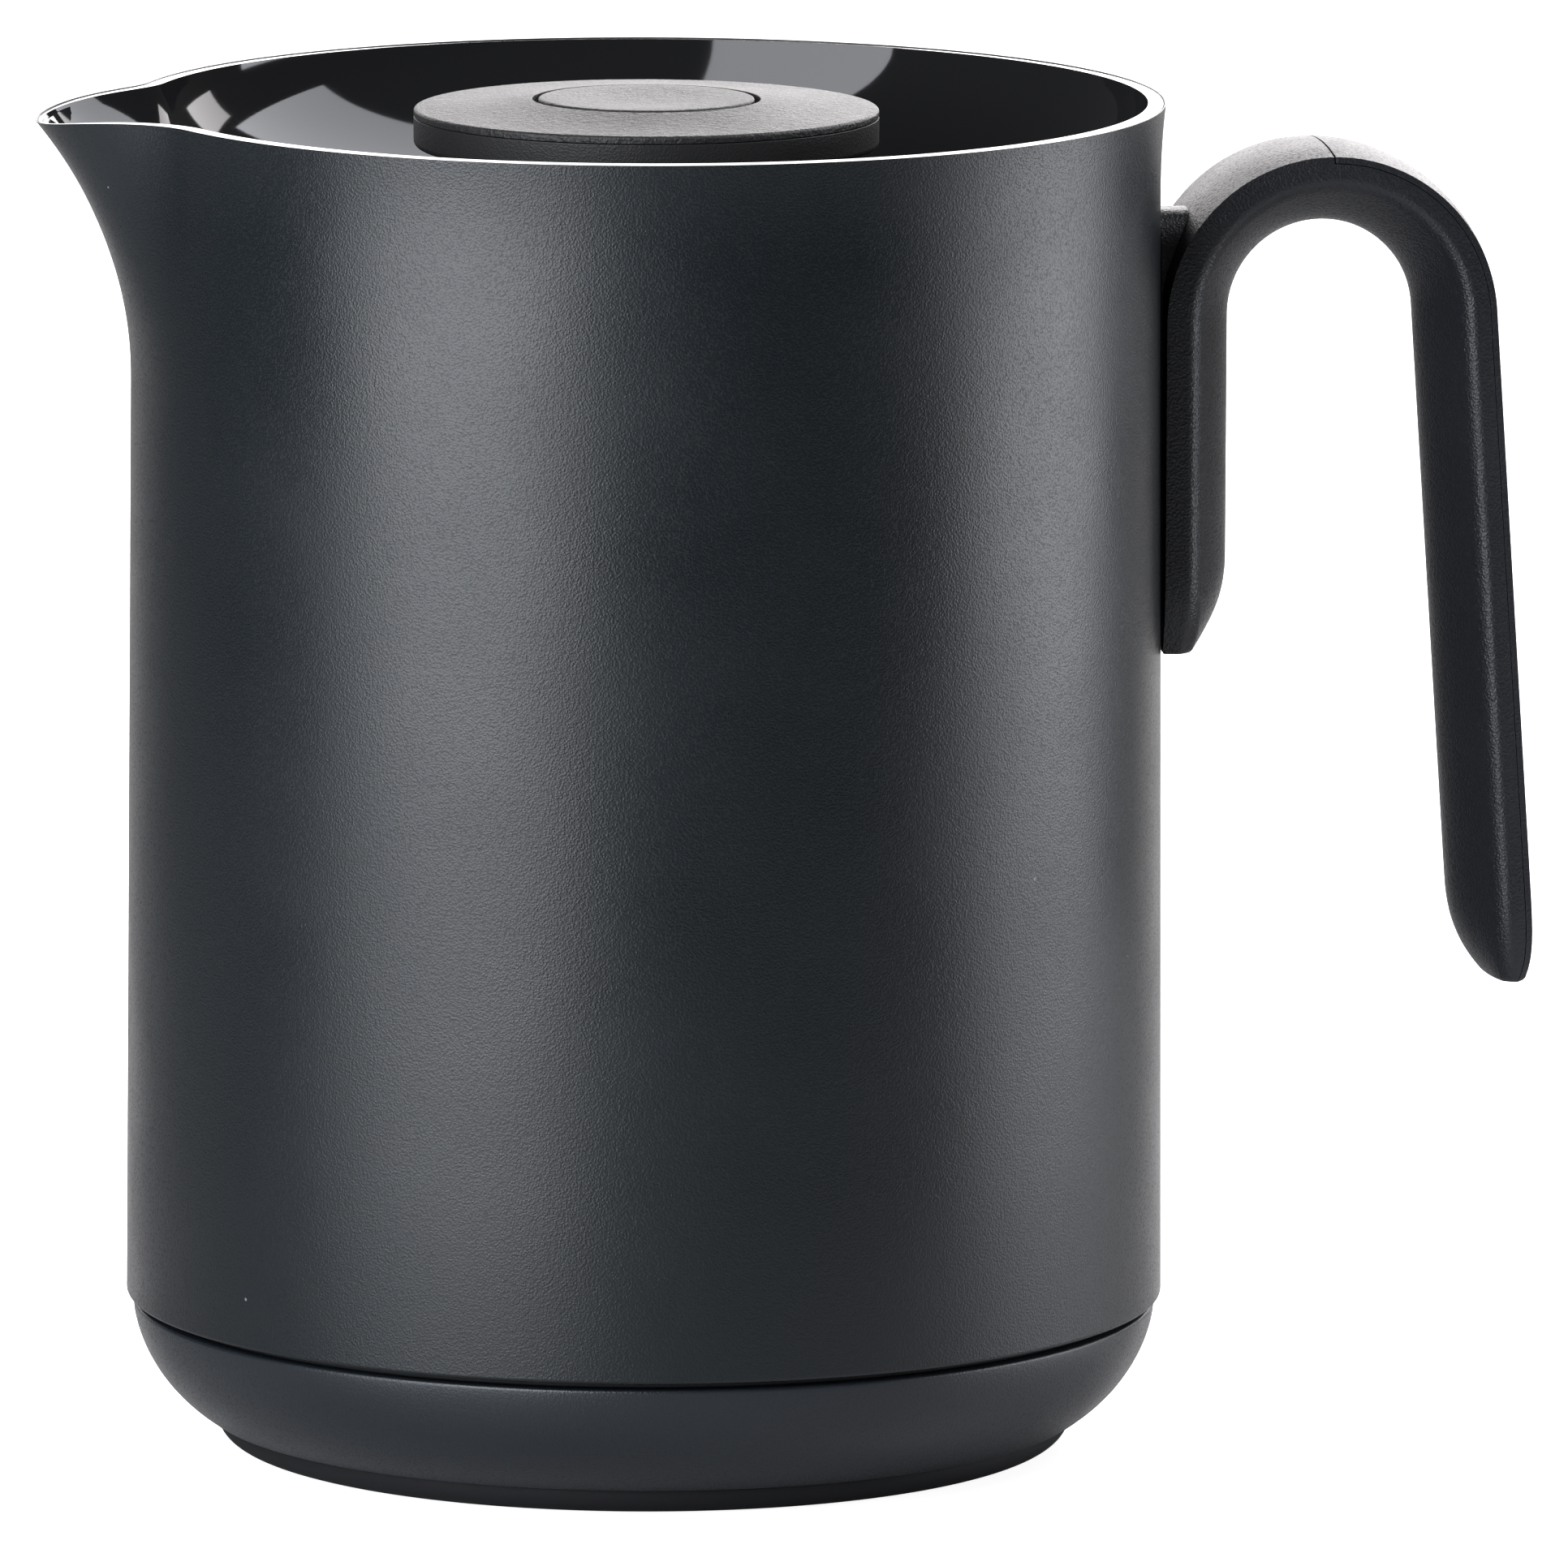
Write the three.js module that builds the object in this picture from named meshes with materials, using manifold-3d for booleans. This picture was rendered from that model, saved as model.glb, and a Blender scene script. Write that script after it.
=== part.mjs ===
// Insulated pouring jug: a spouted plastic shell around a steel vacuum flask, with a glossy pouring
// collar, a base cap on a rubber foot, an open-ended loop handle and a push-button stopper.
// Millimetres, +Z up. The origin is on the body's axis, on the surface that the jug stands on.
// The handle points along +X and the spout along -X.
import * as THREE from "three";
import { mergeVertices } from "three/addons/utils/BufferGeometryUtils.js";
import Module from "manifold-3d";

const { lerp, clamp, degToRad } = THREE.MathUtils;
const wasm = await Module();
wasm.setup();

// Clearances
const SEAT_GAP = 0.3;
const SLIDE_GAP = 0.4;

// Body wall: radius at the rim, extra radius at the lower edge, and a slight flare under the rim
const BODY_RADIUS = 66.0;
const BODY_DRAFT = 1.0;
const RIM_HEIGHT = 174.2;
const RIM_FLARE = 0.7;
const RIM_FLARE_DEPTH = 12;
const SHELL_WALL = 2.4;
const SHELL_TOP_WALL = 1.1;
const SHELL_EDGE_ROUND = 0.9;

// Spout: reach past the round wall, angle to each side, height of the flare, dip of the lip
const SPOUT_REACH = 13.4;
const SPOUT_HALF_ANGLE = degToRad(22);
const SPOUT_HEIGHT = 36;
const SPOUT_FLARE_POWER = 2;
const SPOUT_DIP = 1.7;

// Pouring collar: flat rim, skirt inside the shell, bowl down to the neck
const RIM_WIDTH = 2.3;
const RIM_LIP = 0.5;
const SKIRT_WALL = 1.1;
const SKIRT_DEPTH = 15;
const BOWL_DEPTH = 22.4;
const BOWL_WALL = 1.6;
const BOWL_BRANCH = degToRad(23);
const NECK_LAND_WIDTH = 3.8;
const NECK_BORE_RADIUS = 25.2;
const NECK_WALL = 1.8;
const NECK_LENGTH = 17.6;
const NECK_SEAL_HEIGHT = 2.5;

// Vacuum flask
const AIR_GAP = 3.4;
const VACUUM_GAP = 3;
const STEEL_WALL = 0.6;
const FLASK_CORNER = 9;
const FLASK_NECK_HEIGHT = 6;
const FLASK_SHOULDER_HEIGHT = 19;
const FLASK_NECK_CLEARANCE = 0.9;
const FLASK_LIP_WIDTH = 2.3;
const PLUG_RADIUS = 5;
const PLUG_HEIGHT = 1.2;

// Base cap, foot and the groove between base and shell
const FOOT_RADIUS = 55.4;
const FOOT_HEIGHT = 3.3;
const BASE_HEIGHT = 18;
const BASE_WALL = 2.4;
const BASE_FOOT_LEDGE = 1;
const BASE_INSET = 0.9;
const BASE_EDGE = 0.6;
const BASE_FULLNESS = 0.83;
const BASE_RISE = 0.33;
const BASE_UPRIGHT = 2;
const GROOVE_HEIGHT = 1.2;
const GROOVE_DEPTH = 2;
const GROOVE_GAP = 0.25;
const SPIGOT_WALL = 2;
const SPIGOT_HEIGHT = 13;
const CUSHION_RADIUS = 33;
const CUSHION_WIDTH = 8;
const CUSHION_HEIGHT = 5;
const CUSHION_SEAT_HEIGHT = 10;

// Handle: section, arch, leg on the body and grip
const HANDLE_WIDTH = 22.6;
const HANDLE_DEPTH = 9.4;
const HANDLE_CROWN = 0.7;
const HANDLE_RIDGE = 3.6;
const HANDLE_BULGE = 0.5;
const HANDLE_INNER_POWER = 1.4;
const HANDLE_LEG_OFFSET = 0.1;
const ARCH_RADIUS = 21.5;
const ARCH_DROP = 28.65;
const LEG_LENGTH = 43.15;
const GRIP_LENGTH = 88.45;
const GRIP_TILT = degToRad(3.85);
const TIP_LENGTH = 13.6;
const TIP_DEPTH = 4.9;
const TIP_RIDGE = 2.9;
const TIP_POWER = 2.5;
const TIP_NARROWING = 2.4;
const TIP_CURL = 1.3;
const TIP_CROWN = 0.15;
const LEG_TIP_THINNING = 0.2;
const COVER_EDGE = 0.8;
const PAD_WIDTH = 14.6;
const PAD_TOP_RISE = 14.6;
const PAD_BOTTOM_INSET = 6;
const PAD_REACH = 5.5;
const SCREW_RADIUS = 1.9;
const SCREW_HEAD_RADIUS = 3.6;
const SCREW_HEAD_HEIGHT = 1.8;
const SCREW_GRIP = 5.5;
const SCREW_INSET = 10.8;

// Lid disc and button
const LID_RADIUS = 29.9;
const LID_EDGE_DROP = 1;
const LID_CROWN = 1.2;
const LID_HOLLOW = 0.2;
const LID_EDGE_ROUND = 0.8;
const COVER_THICKNESS = 1.3;
const COVER_SIDE = 1.3;
const PAN_SIDE = 3.4;
const PAN_WALL = 1.5;
const PAN_EDGE_ROUND = 0.9;
const BUTTON_RADIUS = 13.9;
const BUTTON_GAP = 0.5;
const BUTTON_DISH = 0.35;
const BUTTON_EDGE = 0.6;
const BUTTON_WALL = 1.6;
const BUTTON_HEIGHT = 9;
const BUTTON_TRAVEL = 5;
const BOSS_WALL = 1.7;
const BOSS_LENGTH = 4.6;
const WELL_WALL = 1.5;
const WELL_FLOOR = 3;
const WELL_SPARE = 1.5;

// Stopper under the lid disc
const PEDESTAL_RADIUS = 22.4;
const PEDESTAL_WALL = 2.4;
const SHOULDER_RADIUS = 28;
const SHOULDER_HEIGHT = 2;
const PLUG_CLEARANCE = 1;
const WINDOW_COUNT = 6;
const WINDOW_SPAN = degToRad(40);
const WINDOW_MARGIN = 1.6;
const SEAL_GROOVE_DEPTH = 1.8;
const SEAL_HEIGHT = 2.4;
const SEAL_LIFT = 3;
const VALVE_SEAT_RADIUS = 15;
const VALVE_SEAT_HEIGHT = 2;

// Valve, spring and click ring
const STEM_RADIUS = 3.2;
const STEM_SEAL_WIDTH = 2.4;
const STEM_SEAL_HEIGHT = 1.4;
const STEM_FLANGE = 2.2;
const STEM_FLANGE_HEIGHT = 1.5;
const STEM_TAIL = 1.2;
const VALVE_OVERLAP = 2.8;
const VALVE_PLATE_HEIGHT = 2;
const VALVE_SEAL_HEIGHT = 1.4;
const VALVE_SEAL_WIDTH = 2.4;
const CLIP_HEIGHT = 1;
const CLIP_WIDTH = 2.6;
const CLIP_BITE = 0.8;
const CLIP_MOUTH = degToRad(70);
const SPRING_RADIUS = 9.6;
const SPRING_WIRE = 0.6;
const SPRING_TURNS = 5;
const CLICK_WIDTH = 2.6;
const CLICK_HEIGHT = 1.2;
const CLICK_TOOTH = 0.9;
const CLICK_TEETH = 8;

// Mesh fineness
const WIDE_STEPS = 36;
const LID_STEPS = 28;
const RING_STEPS = 22;
const FINE_STEPS = 14;
const SPOUT_STEPS = 16;
const ROUND_STEPS = 30;
const FLARE_ROWS = 6;
const SKIRT_ROWS = 3;
const BOWL_ROWS = 6;
const CURVE_STEPS = 6;
const SHOULDER_STEPS = 5;
const CORNER_STEPS = 3;
const ARCH_STEPS = 20;
const TIP_STEPS = 5;
const INNER_STEPS = 8;
const CROWN_STEPS = 4;
const SPRING_STEPS_PER_TURN = 8;
const WIRE_STEPS = 3;

// Heights that follow from the values above
const SHELL_BOTTOM = BASE_HEIGHT + GROOVE_HEIGHT;
const FLARE_START = RIM_HEIGHT - SPOUT_HEIGHT;
const SKIRT_SEAT = RIM_HEIGHT - SKIRT_DEPTH;
const BOWL_FLOOR = RIM_HEIGHT - BOWL_DEPTH;
const NECK_BOTTOM = BOWL_FLOOR - NECK_LENGTH;
const NECK_OUTER_RADIUS = NECK_BORE_RADIUS + NECK_WALL;
const NECK_LAND_RADIUS = NECK_BORE_RADIUS + NECK_LAND_WIDTH;
const NECK_SEAL_TOP = BOWL_FLOOR - BOWL_WALL - SEAT_GAP;
const FLASK_LIP = NECK_SEAL_TOP - NECK_SEAL_HEIGHT - SEAT_GAP;
const BASE_UNDERSIDE = FOOT_HEIGHT + SEAT_GAP;
const BASE_FLOOR = BASE_UNDERSIDE + BASE_WALL;
const CUSHION_BOTTOM = BASE_FLOOR + CUSHION_SEAT_HEIGHT + SEAT_GAP;
const FLASK_BOTTOM = CUSHION_BOTTOM + CUSHION_HEIGHT + SEAT_GAP;
const FLASK_RADIUS = BODY_RADIUS - SHELL_WALL - AIR_GAP;
const ARCH_HEIGHT = RIM_HEIGHT - ARCH_DROP;
const LEG_FACE = BODY_RADIUS + HANDLE_LEG_OFFSET;
const LID_EDGE = RIM_HEIGHT - LID_EDGE_DROP;
const LID_TOP = LID_EDGE + LID_CROWN;
const PAN_TOP = LID_EDGE - COVER_SIDE - SEAT_GAP;
const PAN_BOTTOM = PAN_TOP - PAN_SIDE;
const WELL_RADIUS = BUTTON_RADIUS + BUTTON_GAP;
const BUTTON_UNDER = LID_TOP - BUTTON_DISH - BUTTON_WALL;
const BOSS_BOTTOM = BUTTON_UNDER - BOSS_LENGTH;
const CLICK_STACK = SEAT_GAP + CLICK_HEIGHT + CLICK_TOOTH;
const WELL_TOP_FLOOR = Math.min(
  LID_TOP - BUTTON_HEIGHT - BUTTON_TRAVEL - WELL_SPARE,
  BOSS_BOTTOM - BUTTON_TRAVEL - SLIDE_GAP - CLICK_STACK,
);
const WELL_BOTTOM = WELL_TOP_FLOOR - WELL_FLOOR;
const STOPPER_TOP = PAN_BOTTOM - SEAT_GAP;
const STOPPER_BOTTOM = NECK_BOTTOM;
const SHOULDER_BOTTOM = BOWL_FLOOR + SEAT_GAP;
const SHOULDER_TOP = SHOULDER_BOTTOM + SHOULDER_HEIGHT;
const PLUG_OUTER_RADIUS = NECK_BORE_RADIUS - PLUG_CLEARANCE;
const SEAL_BOTTOM = STOPPER_BOTTOM + SEAL_LIFT;
const VALVE_SEAL_BOTTOM = STOPPER_BOTTOM - SEAT_GAP - VALVE_SEAL_HEIGHT;
const PLATE_TOP = VALVE_SEAL_BOTTOM - SEAT_GAP;
const PLATE_BOTTOM = PLATE_TOP - VALVE_PLATE_HEIGHT;
const CLIP_BOTTOM = PLATE_BOTTOM - SEAT_GAP - CLIP_HEIGHT;

// Materials
function plastic(color, roughness) {
  return new THREE.MeshStandardMaterial({ color, roughness, metalness: 0 });
}

function metal(color, roughness) {
  return new THREE.MeshStandardMaterial({ color, roughness, metalness: 1 });
}

const shellPlastic = plastic(0x26282b, 0.62);
const basePlastic = plastic(0x22252a, 0.55);
const glossPlastic = plastic(0x0d0e10, 0.08);
const handlePlastic = plastic(0x1c1e21, 0.5);
const lidPlastic = plastic(0x2a2c2f, 0.58);
const innerPlastic = plastic(0x3a3d40, 0.5);
const rubber = plastic(0x17181a, 0.8);
const silicone = plastic(0xb9bcbd, 0.6);
const steel = metal(0xc4c6c8, 0.28);

// Turned solids: the outline runs counter-clockwise in (radius, height) and closes itself
function turned(outline, steps) {
  const points = outline.map(([radius, height]) => new THREE.Vector2(radius, height));
  if (points[0].x > 0 || points.at(-1).x > 0) points.push(points[0].clone());
  const geometry = new THREE.LatheGeometry(points, steps);
  return geometry.rotateX(Math.PI / 2);
}

function ring(inner, outer, bottom, top, steps) {
  return turned([[inner, bottom], [outer, bottom], [outer, top], [inner, top]], steps);
}

function arc(centre, radius, from, to, steps) {
  const points = [];
  for (let i = 0; i <= steps; i += 1) {
    const turn = degToRad(lerp(from, to, i / steps));
    points.push([centre[0] + radius * Math.cos(turn), centre[1] + radius * Math.sin(turn)]);
  }
  return points;
}

// Grids of points: rings that close on themselves, joined row to row, with open ends capped or joined
function gridSolid(rows, closed) {
  const count = rows[0].length;
  const positions = rows.flat().flatMap((point) => point.toArray());
  const index = [];
  const spans = closed ? rows.length : rows.length - 1;
  for (let row = 0; row < spans; row += 1) {
    for (let column = 0; column < count; column += 1) {
      const next = (column + 1) % count;
      const here = row * count;
      const above = ((row + 1) % rows.length) * count;
      index.push(here + column, here + next, above + column);
      index.push(here + next, above + next, above + column);
    }
  }
  if (!closed) {
    const last = (rows.length - 1) * count;
    for (let column = 1; column < count - 1; column += 1) {
      index.push(0, column + 1, column);
      index.push(last, last + column, last + column + 1);
    }
  }
  const geometry = new THREE.BufferGeometry();
  geometry.setAttribute("position", new THREE.Float32BufferAttribute(positions, 3));
  geometry.setIndex(index);
  return geometry;
}

// Cutting and joining
function toManifold(geometry) {
  const plain = geometry.clone();
  plain.deleteAttribute("normal");
  plain.deleteAttribute("uv");
  const merged = mergeVertices(plain, 1e-4);
  return new wasm.Manifold(new wasm.Mesh({
    numProp: 3,
    vertProperties: new Float32Array(merged.attributes.position.array),
    triVerts: new Uint32Array(merged.index.array),
  }));
}

function fromManifold(solid) {
  const mesh = solid.getMesh();
  const geometry = new THREE.BufferGeometry();
  geometry.setAttribute("position", new THREE.BufferAttribute(mesh.vertProperties, 3));
  geometry.setIndex(new THREE.BufferAttribute(mesh.triVerts, 1));
  return geometry;
}

function cut(geometry, tools) {
  const start = toManifold(geometry);
  return fromManifold(tools.reduce((solid, tool) => solid.subtract(toManifold(tool)), start));
}

function join(geometry, additions) {
  const start = toManifold(geometry);
  return fromManifold(additions.reduce((solid, item) => solid.add(toManifold(item)), start));
}

// The body's wall: a round wall with draft, plus the spout's beak
function beak(angle) {
  const share = Math.min(1, Math.abs(angle) / SPOUT_HALF_ANGLE);
  return (1 + Math.cos(Math.PI * share)) / 2;
}

function roundWall(z) {
  const depth = RIM_HEIGHT - z;
  const flare = RIM_FLARE * Math.max(0, 1 - depth / RIM_FLARE_DEPTH) ** 2;
  return BODY_RADIUS + BODY_DRAFT * depth / (RIM_HEIGHT - SHELL_BOTTOM) + flare;
}

function wallRadius(angle, z) {
  const share = clamp(1 - (RIM_HEIGHT - z) / SPOUT_HEIGHT, 0, 1);
  return roundWall(z) + SPOUT_REACH * share ** SPOUT_FLARE_POWER * beak(angle);
}

function rimZ(angle) {
  return RIM_HEIGHT - SPOUT_DIP * beak(angle) ** 2;
}

// A point set in from the wall's outer face, along the wall's normal in plan
function wallPoint(angle, z, inset) {
  const step = 1e-3;
  const radius = wallRadius(angle, z);
  const slope = (wallRadius(angle + step, z) - wallRadius(angle - step, z)) / (2 * step);
  const share = inset / Math.hypot(radius, slope);
  const out = radius * (1 - share);
  const along = slope * share;
  const x = -out * Math.cos(angle) + along * Math.sin(angle);
  const y = -out * Math.sin(angle) - along * Math.cos(angle);
  return new THREE.Vector3(x, y, z);
}

function ringPoint(angle, radius, z) {
  return new THREE.Vector3(-radius * Math.cos(angle), -radius * Math.sin(angle), z);
}

// Angles round the body, closer together across the spout
function bodyAngles() {
  const angles = [];
  for (let i = 0; i < SPOUT_STEPS; i += 1) {
    angles.push(lerp(-SPOUT_HALF_ANGLE, SPOUT_HALF_ANGLE, i / SPOUT_STEPS));
  }
  for (let i = 0; i < ROUND_STEPS; i += 1) {
    angles.push(lerp(SPOUT_HALF_ANGLE, 2 * Math.PI - SPOUT_HALF_ANGLE, i / ROUND_STEPS));
  }
  return angles;
}

function bodySolid(rows) {
  const angles = bodyAngles();
  return gridSolid(rows.map((row) => angles.map(row)), true);
}

function lerpRows(count, from, to, inset) {
  return Array.from({ length: count }, (_, i) => (angle) => {
    const z = lerp(from(angle), to(angle), i / (count - 1));
    return wallPoint(angle, z, inset);
  });
}

// Outer shell, thinned inside the top to take the collar's skirt, with holes for the handle's screws
function outerShell() {
  const top = (angle) => rimZ(angle) - RIM_LIP - SEAT_GAP;
  const at = (z) => () => z;
  const edge = SHELL_BOTTOM + SHELL_EDGE_ROUND;
  const halfRound = SHELL_EDGE_ROUND * Math.SQRT1_2;
  const rows = [
    (angle) => wallPoint(angle, SHELL_BOTTOM, SHELL_WALL),
    (angle) => wallPoint(angle, SHELL_BOTTOM, SHELL_EDGE_ROUND),
    (angle) => wallPoint(angle, edge - halfRound, SHELL_EDGE_ROUND - halfRound),
    (angle) => wallPoint(angle, edge, 0),
    ...lerpRows(FLARE_ROWS, at(FLARE_START), top, 0),
    ...lerpRows(SKIRT_ROWS, top, at(SKIRT_SEAT), SHELL_TOP_WALL),
    ...lerpRows(SKIRT_ROWS, at(SKIRT_SEAT), at(FLARE_START), SHELL_WALL),
  ];
  return cut(bodySolid(rows), screwHeights().map((z) => screwHole(z)));
}

// The bowl's inner face at a turn from the rim (0) to the neck's land (90 degrees), moved out by a wall
function bowlPoint(angle, turn, wall) {
  const height = rimZ(angle) - BOWL_FLOOR;
  const z = BOWL_FLOOR + height * (1 - Math.sin(turn));
  const edge = wallPoint(angle, z, RIM_WIDTH);
  const reach = Math.hypot(edge.x, edge.y);
  const span = reach - NECK_LAND_RADIUS;
  const length = Math.hypot(height * Math.cos(turn), span * Math.sin(turn));
  const radius = NECK_LAND_RADIUS + span * Math.cos(turn) + wall * height * Math.cos(turn) / length;
  const share = radius / reach;
  return new THREE.Vector3(edge.x * share, edge.y * share, z - wall * span * Math.sin(turn) / length);
}

// Glossy collar: lip over the shell, skirt inside it, bowl and neck tube
function pouringCollar() {
  const skirtOuter = SHELL_TOP_WALL + SEAT_GAP;
  const skirtInner = skirtOuter + SKIRT_WALL;
  const skirtBottom = SKIRT_SEAT + SEAT_GAP;
  const lipBottom = (angle) => rimZ(angle) - RIM_LIP;
  const floorUnder = BOWL_FLOOR - BOWL_WALL;
  const turnAt = (i) => Math.PI / 2 * i / BOWL_ROWS;
  const underTurn = (i) => lerp(Math.PI / 2, BOWL_BRANCH, i / (BOWL_ROWS - 1));
  const rows = [
    (angle) => ringPoint(angle, NECK_BORE_RADIUS, NECK_BOTTOM),
    (angle) => ringPoint(angle, NECK_OUTER_RADIUS, NECK_BOTTOM),
    (angle) => ringPoint(angle, NECK_OUTER_RADIUS, floorUnder),
    ...Array.from({ length: BOWL_ROWS }, (_, i) => (angle) => bowlPoint(angle, underTurn(i), BOWL_WALL)),
    (angle) => wallPoint(angle, bowlPoint(angle, BOWL_BRANCH, BOWL_WALL).z, skirtInner),
    (angle) => wallPoint(angle, skirtBottom, skirtInner),
    ...lerpRows(SKIRT_ROWS, () => skirtBottom, lipBottom, skirtOuter),
    (angle) => wallPoint(angle, lipBottom(angle), 0),
    (angle) => wallPoint(angle, rimZ(angle), 0),
    ...Array.from({ length: BOWL_ROWS + 1 }, (_, i) => (angle) => bowlPoint(angle, turnAt(i), 0)),
    (angle) => ringPoint(angle, NECK_BORE_RADIUS, BOWL_FLOOR),
  ];
  return bodySolid(rows);
}

function neckSeal() {
  const inner = NECK_OUTER_RADIUS + SEAT_GAP;
  const outer = NECK_OUTER_RADIUS + FLASK_NECK_CLEARANCE + FLASK_LIP_WIDTH;
  return ring(inner, outer, NECK_SEAL_TOP - NECK_SEAL_HEIGHT, NECK_SEAL_TOP, RING_STEPS);
}

// Flask walls: outline from the bottom's centre to the neck
function vessel(radius, bottom, shoulderTop, neckRadius, top, corner) {
  const shoulderBottom = shoulderTop - FLASK_SHOULDER_HEIGHT;
  const middle = (shoulderBottom + shoulderTop) / 2;
  const shoulder = new THREE.CubicBezierCurve(
    new THREE.Vector2(radius, shoulderBottom),
    new THREE.Vector2(radius, middle),
    new THREE.Vector2(neckRadius, middle),
    new THREE.Vector2(neckRadius, shoulderTop),
  );
  return [
    [0, bottom],
    ...arc([radius - corner, bottom + corner], corner, -90, 0, CORNER_STEPS),
    ...shoulder.getPoints(SHOULDER_STEPS).map((point) => [point.x, point.y]),
    [neckRadius, top],
  ];
}

function vesselWall(radius, bottom, shoulderTop, neckRadius, top, lip) {
  const outside = vessel(radius, bottom, shoulderTop, neckRadius, top, FLASK_CORNER);
  const inside = vessel(
    radius - STEEL_WALL,
    bottom + STEEL_WALL,
    shoulderTop - STEEL_WALL / 2,
    neckRadius - STEEL_WALL,
    lip.at(-1)[1],
    FLASK_CORNER - STEEL_WALL,
  );
  return turned([...outside, ...lip, ...inside.reverse()], RING_STEPS);
}

function flaskInnerWall() {
  const neck = NECK_OUTER_RADIUS + FLASK_NECK_CLEARANCE + STEEL_WALL;
  const lipOuter = neck - STEEL_WALL + FLASK_LIP_WIDTH;
  const lipBottom = FLASK_LIP - STEEL_WALL;
  const lip = [[lipOuter, lipBottom], [lipOuter, FLASK_LIP]];
  const inset = STEEL_WALL + VACUUM_GAP;
  const shoulderTop = FLASK_LIP - FLASK_NECK_HEIGHT - inset;
  return vesselWall(FLASK_RADIUS - inset, FLASK_BOTTOM + inset, shoulderTop, neck, lipBottom, lip);
}

function flaskOuterWall() {
  const neck = NECK_OUTER_RADIUS + FLASK_NECK_CLEARANCE + STEEL_WALL + SEAT_GAP + STEEL_WALL;
  const top = FLASK_LIP - STEEL_WALL - SEAT_GAP;
  const shoulderTop = FLASK_LIP - FLASK_NECK_HEIGHT;
  return vesselWall(FLASK_RADIUS, FLASK_BOTTOM, shoulderTop, neck, top, [[neck - STEEL_WALL, top]]);
}

function vacuumPlug() {
  const top = FLASK_BOTTOM - SEAT_GAP;
  const bottom = top - PLUG_HEIGHT;
  return turned([[0, bottom], [PLUG_RADIUS, bottom], [PLUG_RADIUS, top], [0, top]], FINE_STEPS);
}

function flaskCushion() {
  const inner = CUSHION_RADIUS - CUSHION_WIDTH / 2;
  return ring(inner, inner + CUSHION_WIDTH, CUSHION_BOTTOM, CUSHION_BOTTOM + CUSHION_HEIGHT, RING_STEPS);
}

// Base cap: rounded bowl on the foot, spigot up into the shell, ring seat for the cushion
function spigotRadius() {
  return roundWall(SHELL_BOTTOM + SPIGOT_HEIGHT) - SHELL_WALL - SEAT_GAP;
}

function baseCurve(wall) {
  const top = roundWall(SHELL_BOTTOM) - BASE_INSET - wall;
  const foot = FOOT_RADIUS + BASE_FOOT_LEDGE - wall;
  const upper = BASE_HEIGHT - BASE_EDGE;
  const lower = BASE_UNDERSIDE + wall;
  const curve = new THREE.CubicBezierCurve(
    new THREE.Vector2(foot, lower),
    new THREE.Vector2(lerp(foot, top, BASE_FULLNESS), lerp(lower, upper, BASE_RISE)),
    new THREE.Vector2(top, upper - BASE_UPRIGHT),
    new THREE.Vector2(top, upper),
  );
  return curve.getPoints(CURVE_STEPS).map((point) => [point.x, point.y]);
}

function baseCap() {
  const outer = spigotRadius();
  const inner = outer - SPIGOT_WALL;
  const shoulder = roundWall(SHELL_BOTTOM) - BASE_INSET - BASE_EDGE;
  const spigotTop = BASE_HEIGHT + SPIGOT_HEIGHT;
  const fits = ([radius, height]) => radius < inner && height < BASE_HEIGHT;
  const inside = baseCurve(BASE_WALL).filter(fits);
  const seatOuter = CUSHION_RADIUS + CUSHION_WIDTH / 2;
  const seatInner = CUSHION_RADIUS - CUSHION_WIDTH / 2;
  const seatTop = BASE_FLOOR + CUSHION_SEAT_HEIGHT;
  return turned([
    [0, BASE_UNDERSIDE],
    ...baseCurve(0),
    [shoulder, BASE_HEIGHT],
    [outer, BASE_HEIGHT],
    [outer, spigotTop],
    [inner, spigotTop],
    [inner, inside.at(-1)[1] + BASE_EDGE],
    ...inside.reverse(),
    [seatOuter, BASE_FLOOR],
    [seatOuter, seatTop],
    [seatInner, seatTop],
    [seatInner, BASE_FLOOR],
    [0, BASE_FLOOR],
  ], WIDE_STEPS);
}

function baseSeal() {
  const inner = spigotRadius() + SEAT_GAP;
  const outer = roundWall(SHELL_BOTTOM) - GROOVE_DEPTH;
  return ring(inner, outer, BASE_HEIGHT + GROOVE_GAP, SHELL_BOTTOM - GROOVE_GAP, WIDE_STEPS);
}

function footPad() {
  const edge = arc([FOOT_RADIUS - FOOT_HEIGHT, FOOT_HEIGHT], FOOT_HEIGHT, -90, 0, CORNER_STEPS);
  return turned([[0, 0], ...edge, [0, FOOT_HEIGHT]], WIDE_STEPS);
}

// Handle: stations along the outer edge line, from the leg's tip over the arch to the grip's tip
const ARCH_LENGTH = ARCH_RADIUS * (Math.PI - GRIP_TILT);
const APEX = LEG_LENGTH + ARCH_RADIUS * Math.PI / 2;
const HANDLE_LENGTH = LEG_LENGTH + ARCH_LENGTH + GRIP_LENGTH;

function handleFrameAt(distance) {
  const overArch = clamp(distance - LEG_LENGTH, 0, ARCH_LENGTH);
  const turn = Math.PI - overArch / ARCH_RADIUS;
  const out = new THREE.Vector3(Math.cos(turn), 0, Math.sin(turn));
  const along = new THREE.Vector3(Math.sin(turn), 0, -Math.cos(turn));
  const centre = new THREE.Vector3(LEG_FACE + ARCH_RADIUS, 0, ARCH_HEIGHT);
  const straight = distance - LEG_LENGTH - overArch;
  const point = centre.addScaledVector(out, ARCH_RADIUS).addScaledVector(along, straight);
  return { point, out };
}

function handleRing(distance, section) {
  const { point, out } = handleFrameAt(distance);
  return section.map(([side, height]) => {
    const place = point.clone().addScaledVector(out, height);
    place.y = side;
    return place;
  });
}

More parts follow.
